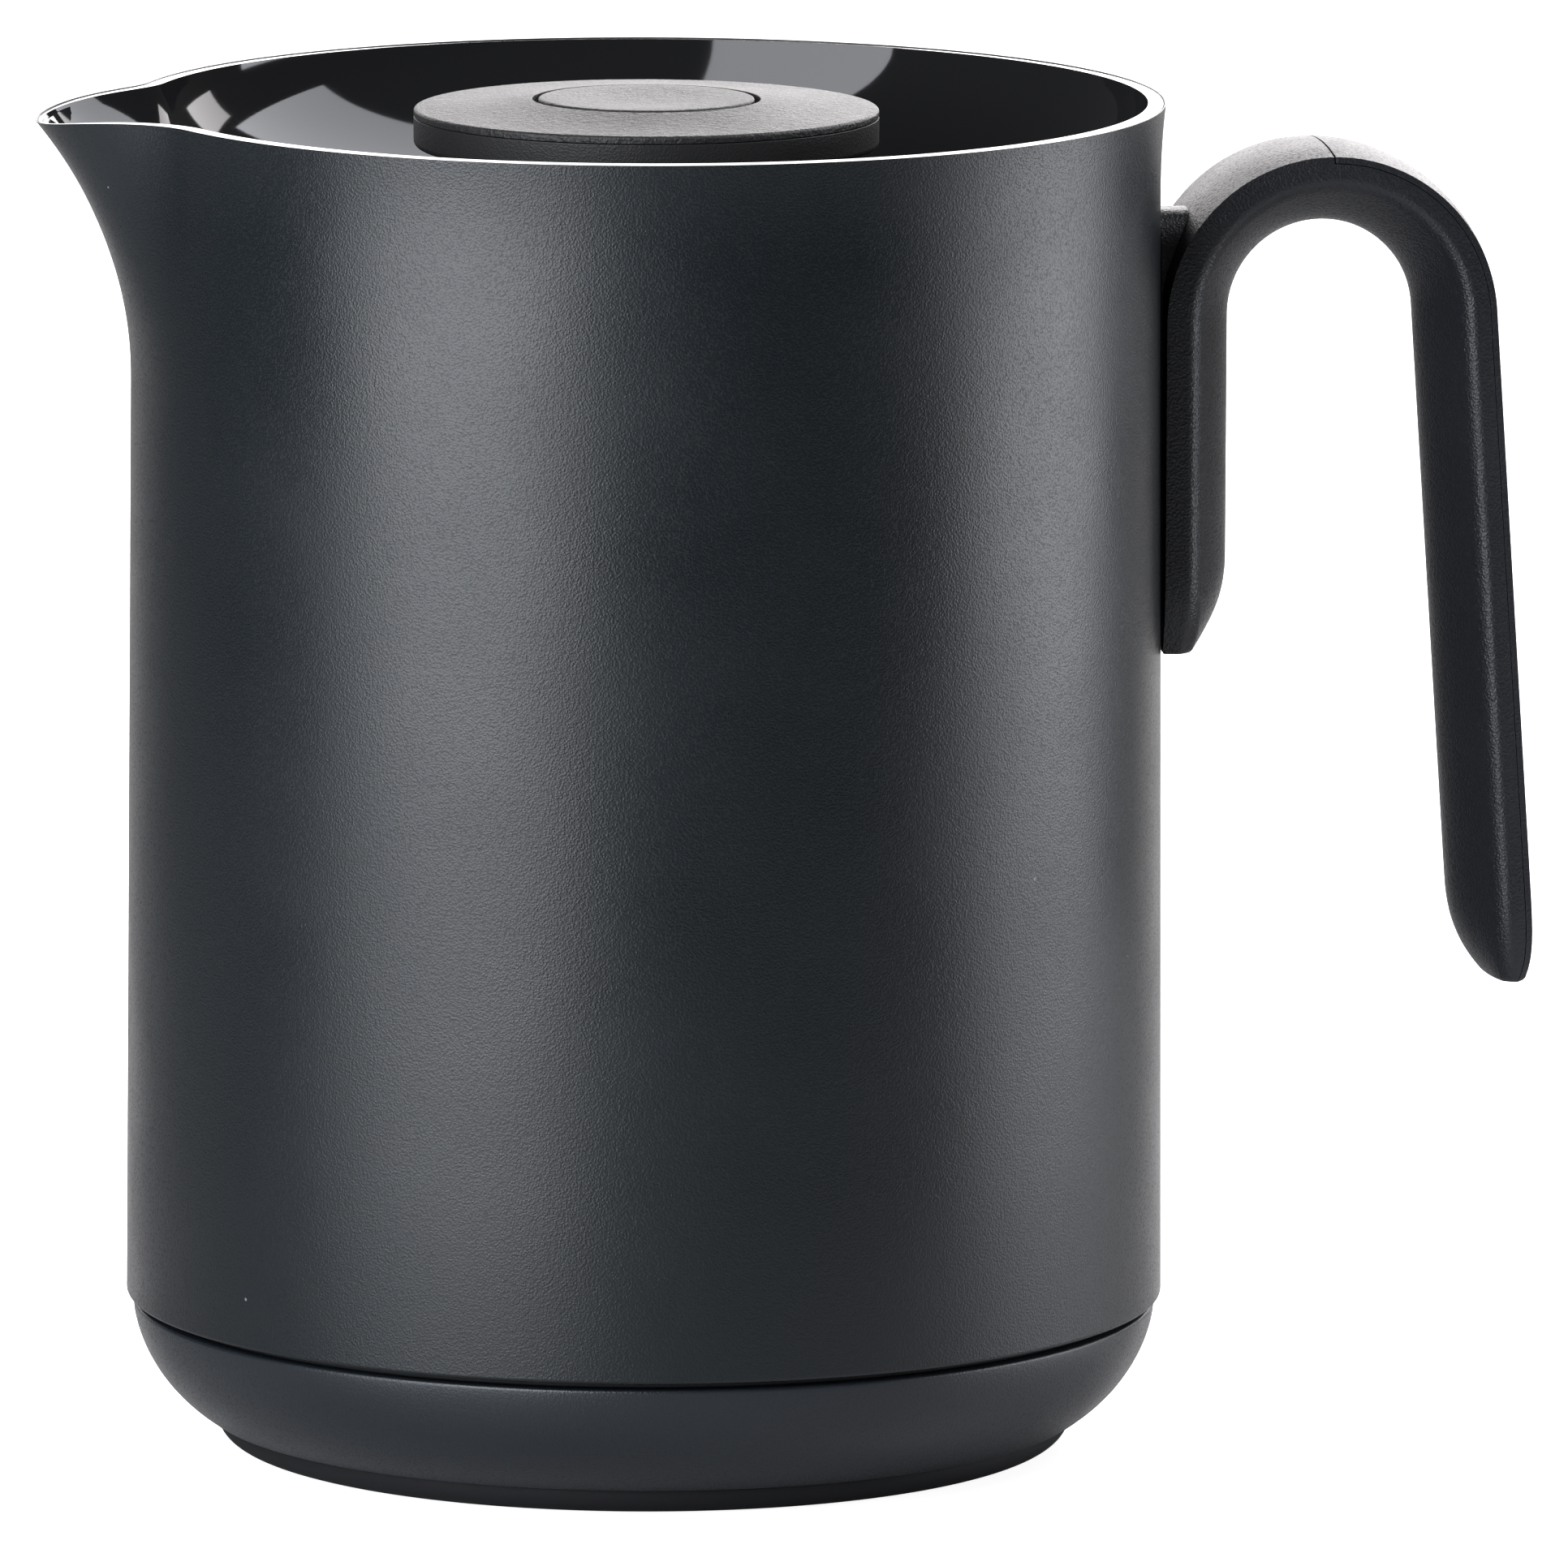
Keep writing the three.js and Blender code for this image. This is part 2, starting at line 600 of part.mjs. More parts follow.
// How far the section is cut back near either tip
function tipShare(distance) {
  const fromTip = Math.min(distance, HANDLE_LENGTH - distance);
  return Math.max(0, 1 - fromTip / TIP_LENGTH) ** TIP_POWER;
}

function halfWidth(distance) {
  return HANDLE_WIDTH / 2 - TIP_NARROWING * tipShare(distance);
}

function outerCrown(distance) {
  return lerp(HANDLE_CROWN, TIP_CROWN, tipShare(distance));
}

function tipCurl(distance) {
  return TIP_CURL * tipShare(distance) ** 2;
}

function crownLine(half, base, crown) {
  return Array.from({ length: CROWN_STEPS + 1 }, (_, i) => {
    const side = 1 - 2 * i / CROWN_STEPS;
    return [half * side, base + crown * (1 - side * side)];
  });
}

// D-shaped section: crowned or recessed outer face, short sides out to a ridge, rounded inner face
function frameSection(distance, covered) {
  const half = halfWidth(distance);
  const thinning = distance < APEX ? LEG_TIP_THINNING : 0;
  const depth = lerp(HANDLE_DEPTH, TIP_DEPTH - thinning, tipShare(distance));
  const ridge = lerp(HANDLE_RIDGE, TIP_RIDGE - thinning, tipShare(distance));
  const drop = tipCurl(distance) + (covered ? COVER_EDGE + SEAT_GAP : 0);
  const outer = crownLine(half, -drop, covered ? 0 : outerCrown(distance));
  const inner = Array.from({ length: INNER_STEPS + 1 }, (_, i) => {
    const across = -Math.cos(Math.PI * i / INNER_STEPS);
    const round = 1 - Math.abs(across) ** HANDLE_INNER_POWER;
    return [(half + HANDLE_BULGE) * across, -ridge - (depth - ridge) * round];
  });
  return [...outer, ...inner];
}

function coverSection(distance) {
  const half = halfWidth(distance);
  const curl = tipCurl(distance);
  const under = -curl - COVER_EDGE;
  return [...crownLine(half, -curl, outerCrown(distance)), [-half, under], [half, under]];
}

function steps(from, to, count) {
  return Array.from({ length: count + 1 }, (_, i) => lerp(from, to, i / count));
}

function gripStations() {
  const archEnd = LEG_LENGTH + ARCH_LENGTH;
  return [
    ...steps(APEX + SEAT_GAP, archEnd, ARCH_STEPS / 2),
    ...steps(HANDLE_LENGTH - TIP_LENGTH, HANDLE_LENGTH, TIP_STEPS),
  ];
}

function mountingPad() {
  const top = ARCH_HEIGHT + PAD_TOP_RISE;
  const bottom = ARCH_HEIGHT - LEG_LENGTH + PAD_BOTTOM_INSET;
  const span = new THREE.Box3(
    new THREE.Vector3(BODY_RADIUS - SHELL_WALL, -PAD_WIDTH / 2, bottom),
    new THREE.Vector3(LEG_FACE + PAD_REACH, PAD_WIDTH / 2, top),
  );
  const size = span.getSize(new THREE.Vector3());
  const centre = span.getCenter(new THREE.Vector3());
  return new THREE.BoxGeometry(size.x, size.y, size.z).translate(centre.x, centre.y, centre.z);
}

// The body's wall as a plain solid, used to shape what lies against it
function wallTool() {
  const bottom = SHELL_BOTTOM;
  const low = [roundWall(bottom) + SEAT_GAP, bottom];
  const high = [roundWall(FLARE_START) + SEAT_GAP, FLARE_START];
  const top = [roundWall(RIM_HEIGHT) + SEAT_GAP, RIM_HEIGHT];
  return turned([[0, bottom], low, high, top, [0, RIM_HEIGHT]], 2 * WIDE_STEPS);
}

function handleFrame() {
  const legStations = [
    ...steps(0, TIP_LENGTH, TIP_STEPS),
    ...steps(LEG_LENGTH, APEX, ARCH_STEPS / 2),
  ];
  const rows = [
    ...legStations.map((distance) => handleRing(distance, frameSection(distance, false))),
    ...gripStations().map((distance) => handleRing(distance, frameSection(distance, true))),
  ];
  const solid = join(gridSolid(rows, false), [mountingPad()]);
  return cut(solid, [wallTool(), ...screwHeights().map((z) => screwHole(z))]);
}

function handleGripCover() {
  const stations = gripStations();
  stations[0] += SEAT_GAP;
  return gridSolid(stations.map((distance) => handleRing(distance, coverSection(distance))), false);
}

// Handle screws, put in from inside the shell
function screwHeights() {
  const top = ARCH_HEIGHT + PAD_TOP_RISE - SCREW_INSET;
  const bottom = ARCH_HEIGHT - LEG_LENGTH + PAD_BOTTOM_INSET + SCREW_INSET;
  return [top, bottom];
}

function alongX(geometry, z) {
  return geometry.rotateY(Math.PI / 2).translate(0, 0, z);
}

function screwHole(z) {
  const radius = SCREW_RADIUS + SEAT_GAP;
  const end = LEG_FACE + SCREW_GRIP + SEAT_GAP;
  const start = BODY_RADIUS - SHELL_WALL - SCREW_HEAD_RADIUS;
  return alongX(turned([[0, start], [radius, start], [radius, end], [0, end]], FINE_STEPS), z);
}

function handleScrew(z) {
  const seat = roundWall(z) - SHELL_WALL - 2 * SEAT_GAP;
  const head = seat - SCREW_HEAD_HEIGHT;
  const end = LEG_FACE + SCREW_GRIP;
  return alongX(turned([
    [0, head],
    [SCREW_HEAD_RADIUS - SEAT_GAP, head],
    [SCREW_HEAD_RADIUS, head + SEAT_GAP],
    [SCREW_HEAD_RADIUS, seat],
    [SCREW_RADIUS, seat],
    [SCREW_RADIUS, end - SCREW_RADIUS],
    [0, end],
  ], FINE_STEPS), z);
}

// Lid: top cover with its opening for the button, over a pan that holds the button's well
function lidCover() {
  const side = LID_RADIUS - LID_EDGE_ROUND;
  const underside = LID_EDGE - COVER_SIDE;
  const crown = Array.from({ length: CROWN_STEPS + 1 }, (_, i) => {
    const share = i / CROWN_STEPS;
    const hollow = LID_HOLLOW * 4 * share * (1 - share);
    return [lerp(side, WELL_RADIUS, share), LID_EDGE + LID_CROWN * share - hollow];
  });
  return turned([
    [WELL_RADIUS, LID_TOP - COVER_THICKNESS],
    [LID_RADIUS - PAN_WALL, underside],
    [LID_RADIUS, underside],
    ...arc([side, LID_EDGE - LID_EDGE_ROUND], LID_EDGE_ROUND, 0, 90, CORNER_STEPS).slice(0, -1),
    ...crown,
  ], LID_STEPS);
}

function lidPan() {
  const wellOuter = WELL_RADIUS + WELL_WALL;
  const wellTop = LID_TOP - COVER_THICKNESS - LID_HOLLOW - SEAT_GAP;
  const guide = STEM_RADIUS + SLIDE_GAP;
  const pocket = guide + STEM_SEAL_WIDTH + SEAT_GAP;
  const pocketTop = WELL_BOTTOM + STEM_SEAL_HEIGHT + SEAT_GAP;
  const floorTop = PAN_BOTTOM + PAN_WALL;
  const edgeCentre = [LID_RADIUS - PAN_EDGE_ROUND, PAN_BOTTOM + PAN_EDGE_ROUND];
  return turned([
    [guide, pocketTop],
    [pocket, pocketTop],
    [pocket, WELL_BOTTOM],
    [wellOuter, WELL_BOTTOM],
    [wellOuter, PAN_BOTTOM],
    ...arc(edgeCentre, PAN_EDGE_ROUND, -90, 0, CORNER_STEPS),
    [LID_RADIUS, PAN_TOP],
    [LID_RADIUS - PAN_WALL, PAN_TOP],
    [LID_RADIUS - PAN_WALL, floorTop],
    [wellOuter, floorTop],
    [wellOuter, wellTop],
    [WELL_RADIUS, wellTop],
    [WELL_RADIUS, WELL_TOP_FLOOR],
    [guide, WELL_TOP_FLOOR],
  ], LID_STEPS);
}

function stemSeal() {
  const inner = STEM_RADIUS + SLIDE_GAP;
  return ring(inner, inner + STEM_SEAL_WIDTH, WELL_BOTTOM, WELL_BOTTOM + STEM_SEAL_HEIGHT, FINE_STEPS);
}

// Stopper: pedestal with pouring windows, shoulder on the bowl's floor, plug with valve seat
function stopperBody() {
  const inner = PEDESTAL_RADIUS - PEDESTAL_WALL;
  const grooveRadius = PLUG_OUTER_RADIUS - SEAL_GROOVE_DEPTH;
  const grooveTop = SEAL_BOTTOM + SEAL_HEIGHT + SEAT_GAP;
  const seatTop = STOPPER_BOTTOM + VALVE_SEAT_HEIGHT;
  const body = turned([
    [VALVE_SEAT_RADIUS, STOPPER_BOTTOM],
    [PLUG_OUTER_RADIUS, STOPPER_BOTTOM],
    [PLUG_OUTER_RADIUS, SEAL_BOTTOM - SEAT_GAP],
    [grooveRadius, SEAL_BOTTOM - SEAT_GAP],
    [grooveRadius, grooveTop],
    [PLUG_OUTER_RADIUS, grooveTop],
    [PLUG_OUTER_RADIUS, SHOULDER_BOTTOM],
    [SHOULDER_RADIUS, SHOULDER_BOTTOM],
    [SHOULDER_RADIUS, SHOULDER_TOP],
    [PEDESTAL_RADIUS, SHOULDER_TOP],
    [PEDESTAL_RADIUS, STOPPER_TOP],
    [inner, STOPPER_TOP],
    [inner, seatTop],
    [VALVE_SEAT_RADIUS, seatTop],
  ], LID_STEPS);
  const pitch = 2 * Math.PI / WINDOW_COUNT;
  return cut(body, Array.from({ length: WINDOW_COUNT }, (_, i) => pouringWindow(pitch * i)));
}

function pouringWindow(turn) {
  const near = PEDESTAL_RADIUS - 2 * PEDESTAL_WALL;
  const far = PEDESTAL_RADIUS + PEDESTAL_WALL;
  const shape = new THREE.Shape();
  shape.absarc(0, 0, far, -WINDOW_SPAN / 2, WINDOW_SPAN / 2, false);
  shape.absarc(0, 0, near, WINDOW_SPAN / 2, -WINDOW_SPAN / 2, true);
  const bottom = SHOULDER_TOP + WINDOW_MARGIN;
  const depth = STOPPER_TOP - WINDOW_MARGIN - bottom;
  const geometry = new THREE.ExtrudeGeometry(shape, { depth, bevelEnabled: false, curveSegments: 4 });
  return geometry.translate(0, 0, bottom).rotateZ(turn);
}

function stopperSeal() {
  const inner = PLUG_OUTER_RADIUS - SEAL_GROOVE_DEPTH + SEAT_GAP;
  return ring(inner, NECK_BORE_RADIUS - SEAT_GAP, SEAL_BOTTOM, SEAL_BOTTOM + SEAL_HEIGHT, RING_STEPS);
}

// Button and valve
function pushButton() {
  const socket = STEM_RADIUS + SEAT_GAP;
  const inner = BUTTON_RADIUS - BUTTON_WALL;
  const dish = Array.from({ length: CROWN_STEPS + 1 }, (_, i) => {
    const share = 1 - i / CROWN_STEPS;
    return [(BUTTON_RADIUS - BUTTON_EDGE) * share, LID_TOP - BUTTON_DISH * (1 - share * share)];
  });
  return turned([
    [0, BUTTON_UNDER],
    [socket, BUTTON_UNDER],
    [socket, BOSS_BOTTOM],
    [socket + BOSS_WALL, BOSS_BOTTOM],
    [socket + BOSS_WALL, BUTTON_UNDER],
    [inner, BUTTON_UNDER],
    [inner, LID_TOP - BUTTON_HEIGHT],
    [BUTTON_RADIUS, LID_TOP - BUTTON_HEIGHT],
    [BUTTON_RADIUS, LID_TOP - BUTTON_EDGE],
    ...dish,
  ], LID_STEPS);
}

function valveStem() {
  const flange = STEM_RADIUS + STEM_FLANGE;
  const flangeBottom = PLATE_TOP + SEAT_GAP;
  const waist = STEM_RADIUS - CLIP_BITE;
  const bottom = CLIP_BOTTOM - STEM_TAIL;
  const top = BUTTON_UNDER - SEAT_GAP;
  return turned([
    [0, bottom],
    [STEM_RADIUS, bottom],
    [STEM_RADIUS, CLIP_BOTTOM - SEAT_GAP],
    [waist, CLIP_BOTTOM - SEAT_GAP],
    [waist, CLIP_BOTTOM + CLIP_HEIGHT + SEAT_GAP],
    [STEM_RADIUS, CLIP_BOTTOM + CLIP_HEIGHT + SEAT_GAP],
    [STEM_RADIUS, flangeBottom],
    [flange, flangeBottom],
    [flange, flangeBottom + STEM_FLANGE_HEIGHT],
    [STEM_RADIUS, flangeBottom + STEM_FLANGE_HEIGHT],
    [STEM_RADIUS, top],
    [0, top],
  ], FINE_STEPS);
}

function valvePlate() {
  const outer = VALVE_SEAT_RADIUS + VALVE_OVERLAP;
  return ring(STEM_RADIUS + SEAT_GAP, outer, PLATE_BOTTOM, PLATE_TOP, RING_STEPS);
}

function valveSeal() {
  const outer = VALVE_SEAT_RADIUS + VALVE_OVERLAP - SEAT_GAP;
  const top = VALVE_SEAL_BOTTOM + VALVE_SEAL_HEIGHT;
  return ring(outer - VALVE_SEAL_WIDTH, outer, VALVE_SEAL_BOTTOM, top, RING_STEPS);
}

function stemClip() {
  const inner = STEM_RADIUS - CLIP_BITE + SEAT_GAP;
  const shape = new THREE.Shape();
  shape.absarc(0, 0, inner + CLIP_WIDTH, CLIP_MOUTH / 2, 2 * Math.PI - CLIP_MOUTH / 2, false);
  shape.absarc(0, 0, inner, 2 * Math.PI - CLIP_MOUTH / 2, CLIP_MOUTH / 2, true);
  const options = { depth: CLIP_HEIGHT, bevelEnabled: false, curveSegments: FINE_STEPS / 2 };
  return new THREE.ExtrudeGeometry(shape, options).translate(0, 0, CLIP_BOTTOM);
}

// Button spring: one wire wound round the button's boss
class CoilCurve extends THREE.Curve {
  getPoint(share, target = new THREE.Vector3()) {
    const turn = 2 * Math.PI * SPRING_TURNS * share;
    const bottom = WELL_TOP_FLOOR + SEAT_GAP + SPRING_WIRE;
    const top = BUTTON_UNDER - SEAT_GAP - SPRING_WIRE;
    const z = lerp(bottom, top, share);
    return target.set(SPRING_RADIUS * Math.cos(turn), SPRING_RADIUS * Math.sin(turn), z);
  }
}

function valveSpring() {
  const wire = new THREE.Shape();
  wire.absarc(0, 0, SPRING_WIRE, 0, 2 * Math.PI, false);
  const options = {
    steps: SPRING_TURNS * SPRING_STEPS_PER_TURN,
    extrudePath: new CoilCurve(),
    bevelEnabled: false,
    curveSegments: WIRE_STEPS,
  };
  return new THREE.ExtrudeGeometry(wire, options);
}

function printCoilGap() {
  const points = new CoilCurve().getPoints(SPRING_TURNS * SPRING_STEPS_PER_TURN);
  let least = Infinity;
  points.forEach((point, i) => {
    points.slice(i + SPRING_STEPS_PER_TURN / 2).forEach((other) => {
      least = Math.min(least, point.distanceTo(other));
    });
  });
  console.log(`least gap between coils: ${(least - 2 * SPRING_WIRE).toFixed(2)} mm`);
}

// Click ring on the well's floor: ratchet teeth that hold the button down at every other press
function clickRing() {
  const inner = STEM_RADIUS + SLIDE_GAP;
  const bottom = WELL_TOP_FLOOR + SEAT_GAP;
  const top = bottom + CLICK_HEIGHT;
  const body = ring(inner, inner + CLICK_WIDTH, bottom, top, RING_STEPS);
  return join(body, Array.from({ length: CLICK_TEETH }, (_, i) => clickTooth(inner, top, i)));
}

function clickTooth(inner, top, number) {
  const run = Math.PI * inner / CLICK_TEETH;
  const shape = new THREE.Shape();
  shape.moveTo(-run / 2, -CLICK_HEIGHT / 2);
  shape.lineTo(run / 2, -CLICK_HEIGHT / 2);
  shape.lineTo(run / 2, CLICK_TOOTH);
  shape.lineTo(-run / 2, 0);
  shape.closePath();
  const options = { depth: CLICK_WIDTH - 2 * SEAT_GAP, bevelEnabled: false };
  const tooth = new THREE.ExtrudeGeometry(shape, options).rotateX(Math.PI / 2).rotateZ(Math.PI);
  return tooth.translate(0, inner + SEAT_GAP, top).rotateZ(2 * Math.PI * number / CLICK_TEETH);
}

// The assembly
const jug = new THREE.Group();
jug.name = "insulated_jug";

function place(name, geometry, material) {
  const mesh = new THREE.Mesh(geometry, material.clone());
  mesh.name = name;
  jug.add(mesh);
}

place("outer_shell", outerShell(), shellPlastic);
place("pouring_collar", pouringCollar(), glossPlastic);
place("neck_seal", neckSeal(), silicone);
place("flask_inner_wall", flaskInnerWall(), steel);
place("flask_outer_wall", flaskOuterWall(), steel);
place("vacuum_plug", vacuumPlug(), steel);
place("flask_cushion", flaskCushion(), rubber);
place("base_cap", baseCap(), basePlastic);
place("base_seal", baseSeal(), rubber);
place("foot_pad", footPad(), rubber);
place("handle_frame", handleFrame(), handlePlastic);
place("handle_grip_cover", handleGripCover(), handlePlastic);
const [upperScrew, lowerScrew] = screwHeights();
place("handle_screw_upper", handleScrew(upperScrew), steel);
place("handle_screw_lower", handleScrew(lowerScrew), steel);
place("stopper_body", stopperBody(), innerPlastic);
place("stopper_seal", stopperSeal(), silicone);
place("lid_pan", lidPan(), lidPlastic);
place("lid_cover", lidCover(), lidPlastic);
place("stem_seal", stemSeal(), silicone);
place("push_button", pushButton(), lidPlastic);
place("valve_stem", valveStem(), innerPlastic);
place("valve_plate", valvePlate(), innerPlastic);
place("valve_seal", valveSeal(), silicone);
place("stem_clip", stemClip(), steel);
place("valve_spring", valveSpring(), steel);
place("click_ring", clickRing(), innerPlastic);
printCoilGap();

export default jug;
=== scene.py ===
"""Finished surfaces, studio stage and camera of an insulated pouring jug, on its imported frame.

Metres, +Z up. The handle points along +X and the spout along -X, as in the frame.
"""

import math

import bpy
import numpy as np
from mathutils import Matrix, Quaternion, Vector


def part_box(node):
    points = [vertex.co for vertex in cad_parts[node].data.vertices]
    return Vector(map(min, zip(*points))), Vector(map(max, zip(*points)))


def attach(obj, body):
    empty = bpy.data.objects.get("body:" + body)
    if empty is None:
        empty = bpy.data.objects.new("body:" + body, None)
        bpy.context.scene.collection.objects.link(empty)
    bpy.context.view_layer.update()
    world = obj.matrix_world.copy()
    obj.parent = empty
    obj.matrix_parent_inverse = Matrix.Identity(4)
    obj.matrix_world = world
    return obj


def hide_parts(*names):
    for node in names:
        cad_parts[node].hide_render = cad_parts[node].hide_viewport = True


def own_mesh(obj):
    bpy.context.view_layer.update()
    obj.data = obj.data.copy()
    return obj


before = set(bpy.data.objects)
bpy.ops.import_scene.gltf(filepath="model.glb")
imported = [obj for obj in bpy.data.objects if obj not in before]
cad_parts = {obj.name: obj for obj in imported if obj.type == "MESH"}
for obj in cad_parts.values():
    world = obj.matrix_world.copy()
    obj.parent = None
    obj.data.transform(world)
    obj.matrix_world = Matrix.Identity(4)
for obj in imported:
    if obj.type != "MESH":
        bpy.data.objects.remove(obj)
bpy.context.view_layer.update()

bl_info = {
    "name": "Insulated Jug",
    "version": (1, 0, 0),
    "blender": (4, 5, 0),
    "location": "3D View > Sidebar > Jug",
    "description": "Builds the finished surfaces of an insulated pouring jug and its studio stage",
    "category": "Object",
}

MM = 0.001
SEAT_GAP = 0.3 * MM
SKIRT_DEPTH = 15 * MM
BEVEL_ANGLE = math.radians(30)
BEVEL_STEPS = 3

# Heights and radii that the frame gives
RIM_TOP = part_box("pouring_collar")[1].z
NECK_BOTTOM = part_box("pouring_collar")[0].z
SHELL_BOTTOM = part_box("outer_shell")[0].z
FOOT_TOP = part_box("foot_pad")[1].z
FOOT_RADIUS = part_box("foot_pad")[1].x
LID_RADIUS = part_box("lid_cover")[1].x
LID_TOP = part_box("lid_cover")[1].z
PAN_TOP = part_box("lid_cover")[0].z - SEAT_GAP
BUTTON_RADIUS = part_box("push_button")[1].x
BUTTON_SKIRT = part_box("push_button")[0].z


def length(name, default, description):
    return bpy.props.FloatProperty(
        name=name, description=description, default=default, unit="LENGTH", precision=5
    )


def angle(name, degrees, description):
    return bpy.props.FloatProperty(
        name=name, description=description, default=math.radians(degrees), subtype="ANGLE"
    )


def share(name, default, description):
    return bpy.props.FloatProperty(
        name=name, description=description, default=default, min=0, max=1, subtype="FACTOR"
    )


def number(name, default, description):
    return bpy.props.FloatProperty(name=name, description=description, default=default, precision=3)


def colour(name, default, description):
    return bpy.props.FloatVectorProperty(
        name=name, description=description, default=default, size=3, min=0, max=1, subtype="COLOR"
    )


class JugBody(bpy.types.PropertyGroup):
    """Sizes of the shell, the pouring collar and the base"""

    rim_height: length("Rim Height", RIM_TOP, "Height of the rim's flat face")
    rim_radius: length("Rim Radius", 66 * MM, "Radius of the round wall at the rim")
    draft: length("Draft", 1 * MM, "Extra radius at the wall's lower edge")
    flare: length("Rim Flare", 0.7 * MM, "Extra radius right under the rim")
    flare_depth: length("Flare Depth", 12 * MM, "Height of the flare under the rim")
    wall: length("Shell Wall", 2.4 * MM, "Thickness of the shell")
    top_wall: length("Shell Top Wall", 1.1 * MM, "Thickness of the shell outside the collar's skirt")
    edge_round: length("Lower Edge Round", 0.5 * MM, "Rounding of the shell's lower edge")
    spout_reach: length("Spout Reach", 13.4 * MM, "How far the spout stands out of the round wall")
    spout_angle: angle("Spout Half Angle", 22, "Angle that the spout takes up to each side")
    spout_height: length("Spout Height", 36 * MM, "Height over which the spout flares")
    spout_dip: length("Spout Dip", 1.7 * MM, "How far the rim dips at the spout")
    rim_width: length("Rim Width", 2.3 * MM, "Width of the rim's flat face")
    spout_rim: length("Spout Rim Width", 0.8 * MM, "Width of the rim's flat face at the spout's tip")
    lip: length("Lip", 0.38 * MM, "Thickness of the collar's lip over the shell")
    lip_gap: length("Lip Gap", 0.1 * MM, "Joint line between the lip and the shell")
    rim_edge: length("Rim Edge", 0.25 * MM, "Width of the shell's edge outside the lip")
    rim_slope: length("Rim Slope", 0.1 * MM, "How far the rim's face falls from the bowl to its edge")
    bowl_depth: length("Bowl Depth", 22.4 * MM, "Depth of the bowl under the rim")
    neck_land: length("Neck Land Radius", 29 * MM, "Radius of the flat land round the neck")
    neck_bore: length("Neck Bore Radius", 25.2 * MM, "Radius of the neck's bore")
    base_top: length("Base Height", 18.3 * MM, "Height of the base cap's upper edge")
    base_inset: length("Base Inset", 0.9 * MM, "How far the base cap stands in from the shell")
    base_fullness: share("Base Fullness", 0.83, "How round the base cap's bowl is")
    base_rise: share("Base Rise", 0.33, "Where along its height the base cap's bowl turns up")
    groove_depth: length("Groove Depth", 2 * MM, "Depth of the groove between base and shell")


class JugHandle(bpy.types.PropertyGroup):
    """Sizes of the loop handle"""

    width: length("Width", 22.6 * MM, "Width of the outer face")
    depth: length("Depth", 9.4 * MM, "Thickness from the outer face to the inner face")
    crown: length("Crown", 0.7 * MM, "How far the outer face is domed")
    ridge: length("Ridge", 3.6 * MM, "Depth of the ridge along the side")
    bulge: length("Bulge", 0.5 * MM, "How far the ridge stands out past the outer edge")
    leg_face: length("Leg Face", 66.1 * MM, "Distance of the leg's outer edge from the body's axis")
    arch_radius: length("Arch Radius", 21.5 * MM, "Radius of the arch's outer edge")
    arch_height: length("Arch Height", 145.55 * MM, "Height of the arch's centre")
    leg_length: length("Leg Length", 43.15 * MM, "Length of the straight leg on the body")
    grip_length: length("Grip Length", 88.45 * MM, "Length of the straight grip")
    tilt: angle("Grip Tilt", 3.85, "How far the grip leans outwards")
    tip_length: length("Tip Length", 13.6 * MM, "Length of the taper at the grip's tip")
    leg_taper: length("Leg Taper", 12.4 * MM, "Length of the taper at the leg's tip")
    tip_depth: length("Tip Depth", 4.9 * MM, "Thickness of the grip's tip")
    tip_ridge: length("Tip Ridge", 2.9 * MM, "Depth of the ridge at the grip's tip")
    tip_narrowing: length("Tip Narrowing", 2.4 * MM, "Loss of half width at either tip")
    tip_curl: length("Tip Curl", 1.3 * MM, "How far the outer face turns in at the grip's tip")
    tip_round: length("Tip Round", 0.7 * MM, "Rounding of the grip's end face")
    leg_round: length("Leg Tip Round", 0.35 * MM, "Rounding of the leg's end face")
    leg_thinning: length("Leg Tip Thinning", 0.2 * MM, "How much thinner the leg's tip is")
    ridge_round: length("Ridge Round", 1.5 * MM, "Rounding of the ridge along the side")
    inner_power: number("Inner Power", 1.4, "How full the arch of the inner face is")
    crest_round: share("Crest Round", 0.25, "Rounding of the inner face along its middle")
    cover_edge: length("Cover Edge", 0.8 * MM, "Thickness of the grip cover at its edges")
    cover_joint: length("Cover Joint", 0.1 * MM, "Joint line between the cover and the frame")
    web_width: length("Web Width", 14.6 * MM, "Width of the block between leg and body")
    web_rise: length("Web Rise", 13.8 * MM, "Height of the block over the arch's centre")
    web_round: length("Web Round", 6 * MM, "Rounding of the block's upper edges")


class JugLid(bpy.types.PropertyGroup):
    """Sizes of the lid disc and its button"""

    radius: length("Lid Radius", LID_RADIUS, "Radius of the lid disc")
    top: length("Lid Top", LID_TOP, "Height of the lid's inner edge, next to the button")
    crown: length("Lid Crown", 1.2 * MM, "Rise of the lid from its edge to the button")
    hollow: length("Lid Hollow", 0.2 * MM, "How far the crown sags between edge and button")
    edge_round: length("Edge Round", 0.45 * MM, "Rounding of the lid's upper edge")
    side: length("Cover Side", 1 * MM, "Height of the cover's side over the parting line")
    button_radius: length("Button Radius", BUTTON_RADIUS, "Radius of the button")
    button_gap: length("Button Gap", 0.75 * MM, "Gap round the button")
    button_rise: length("Button Rise", 0.1 * MM, "How far the button stands over the lid")
    button_dish: length("Button Dish", 0.45 * MM, "How far the button's face is hollowed")


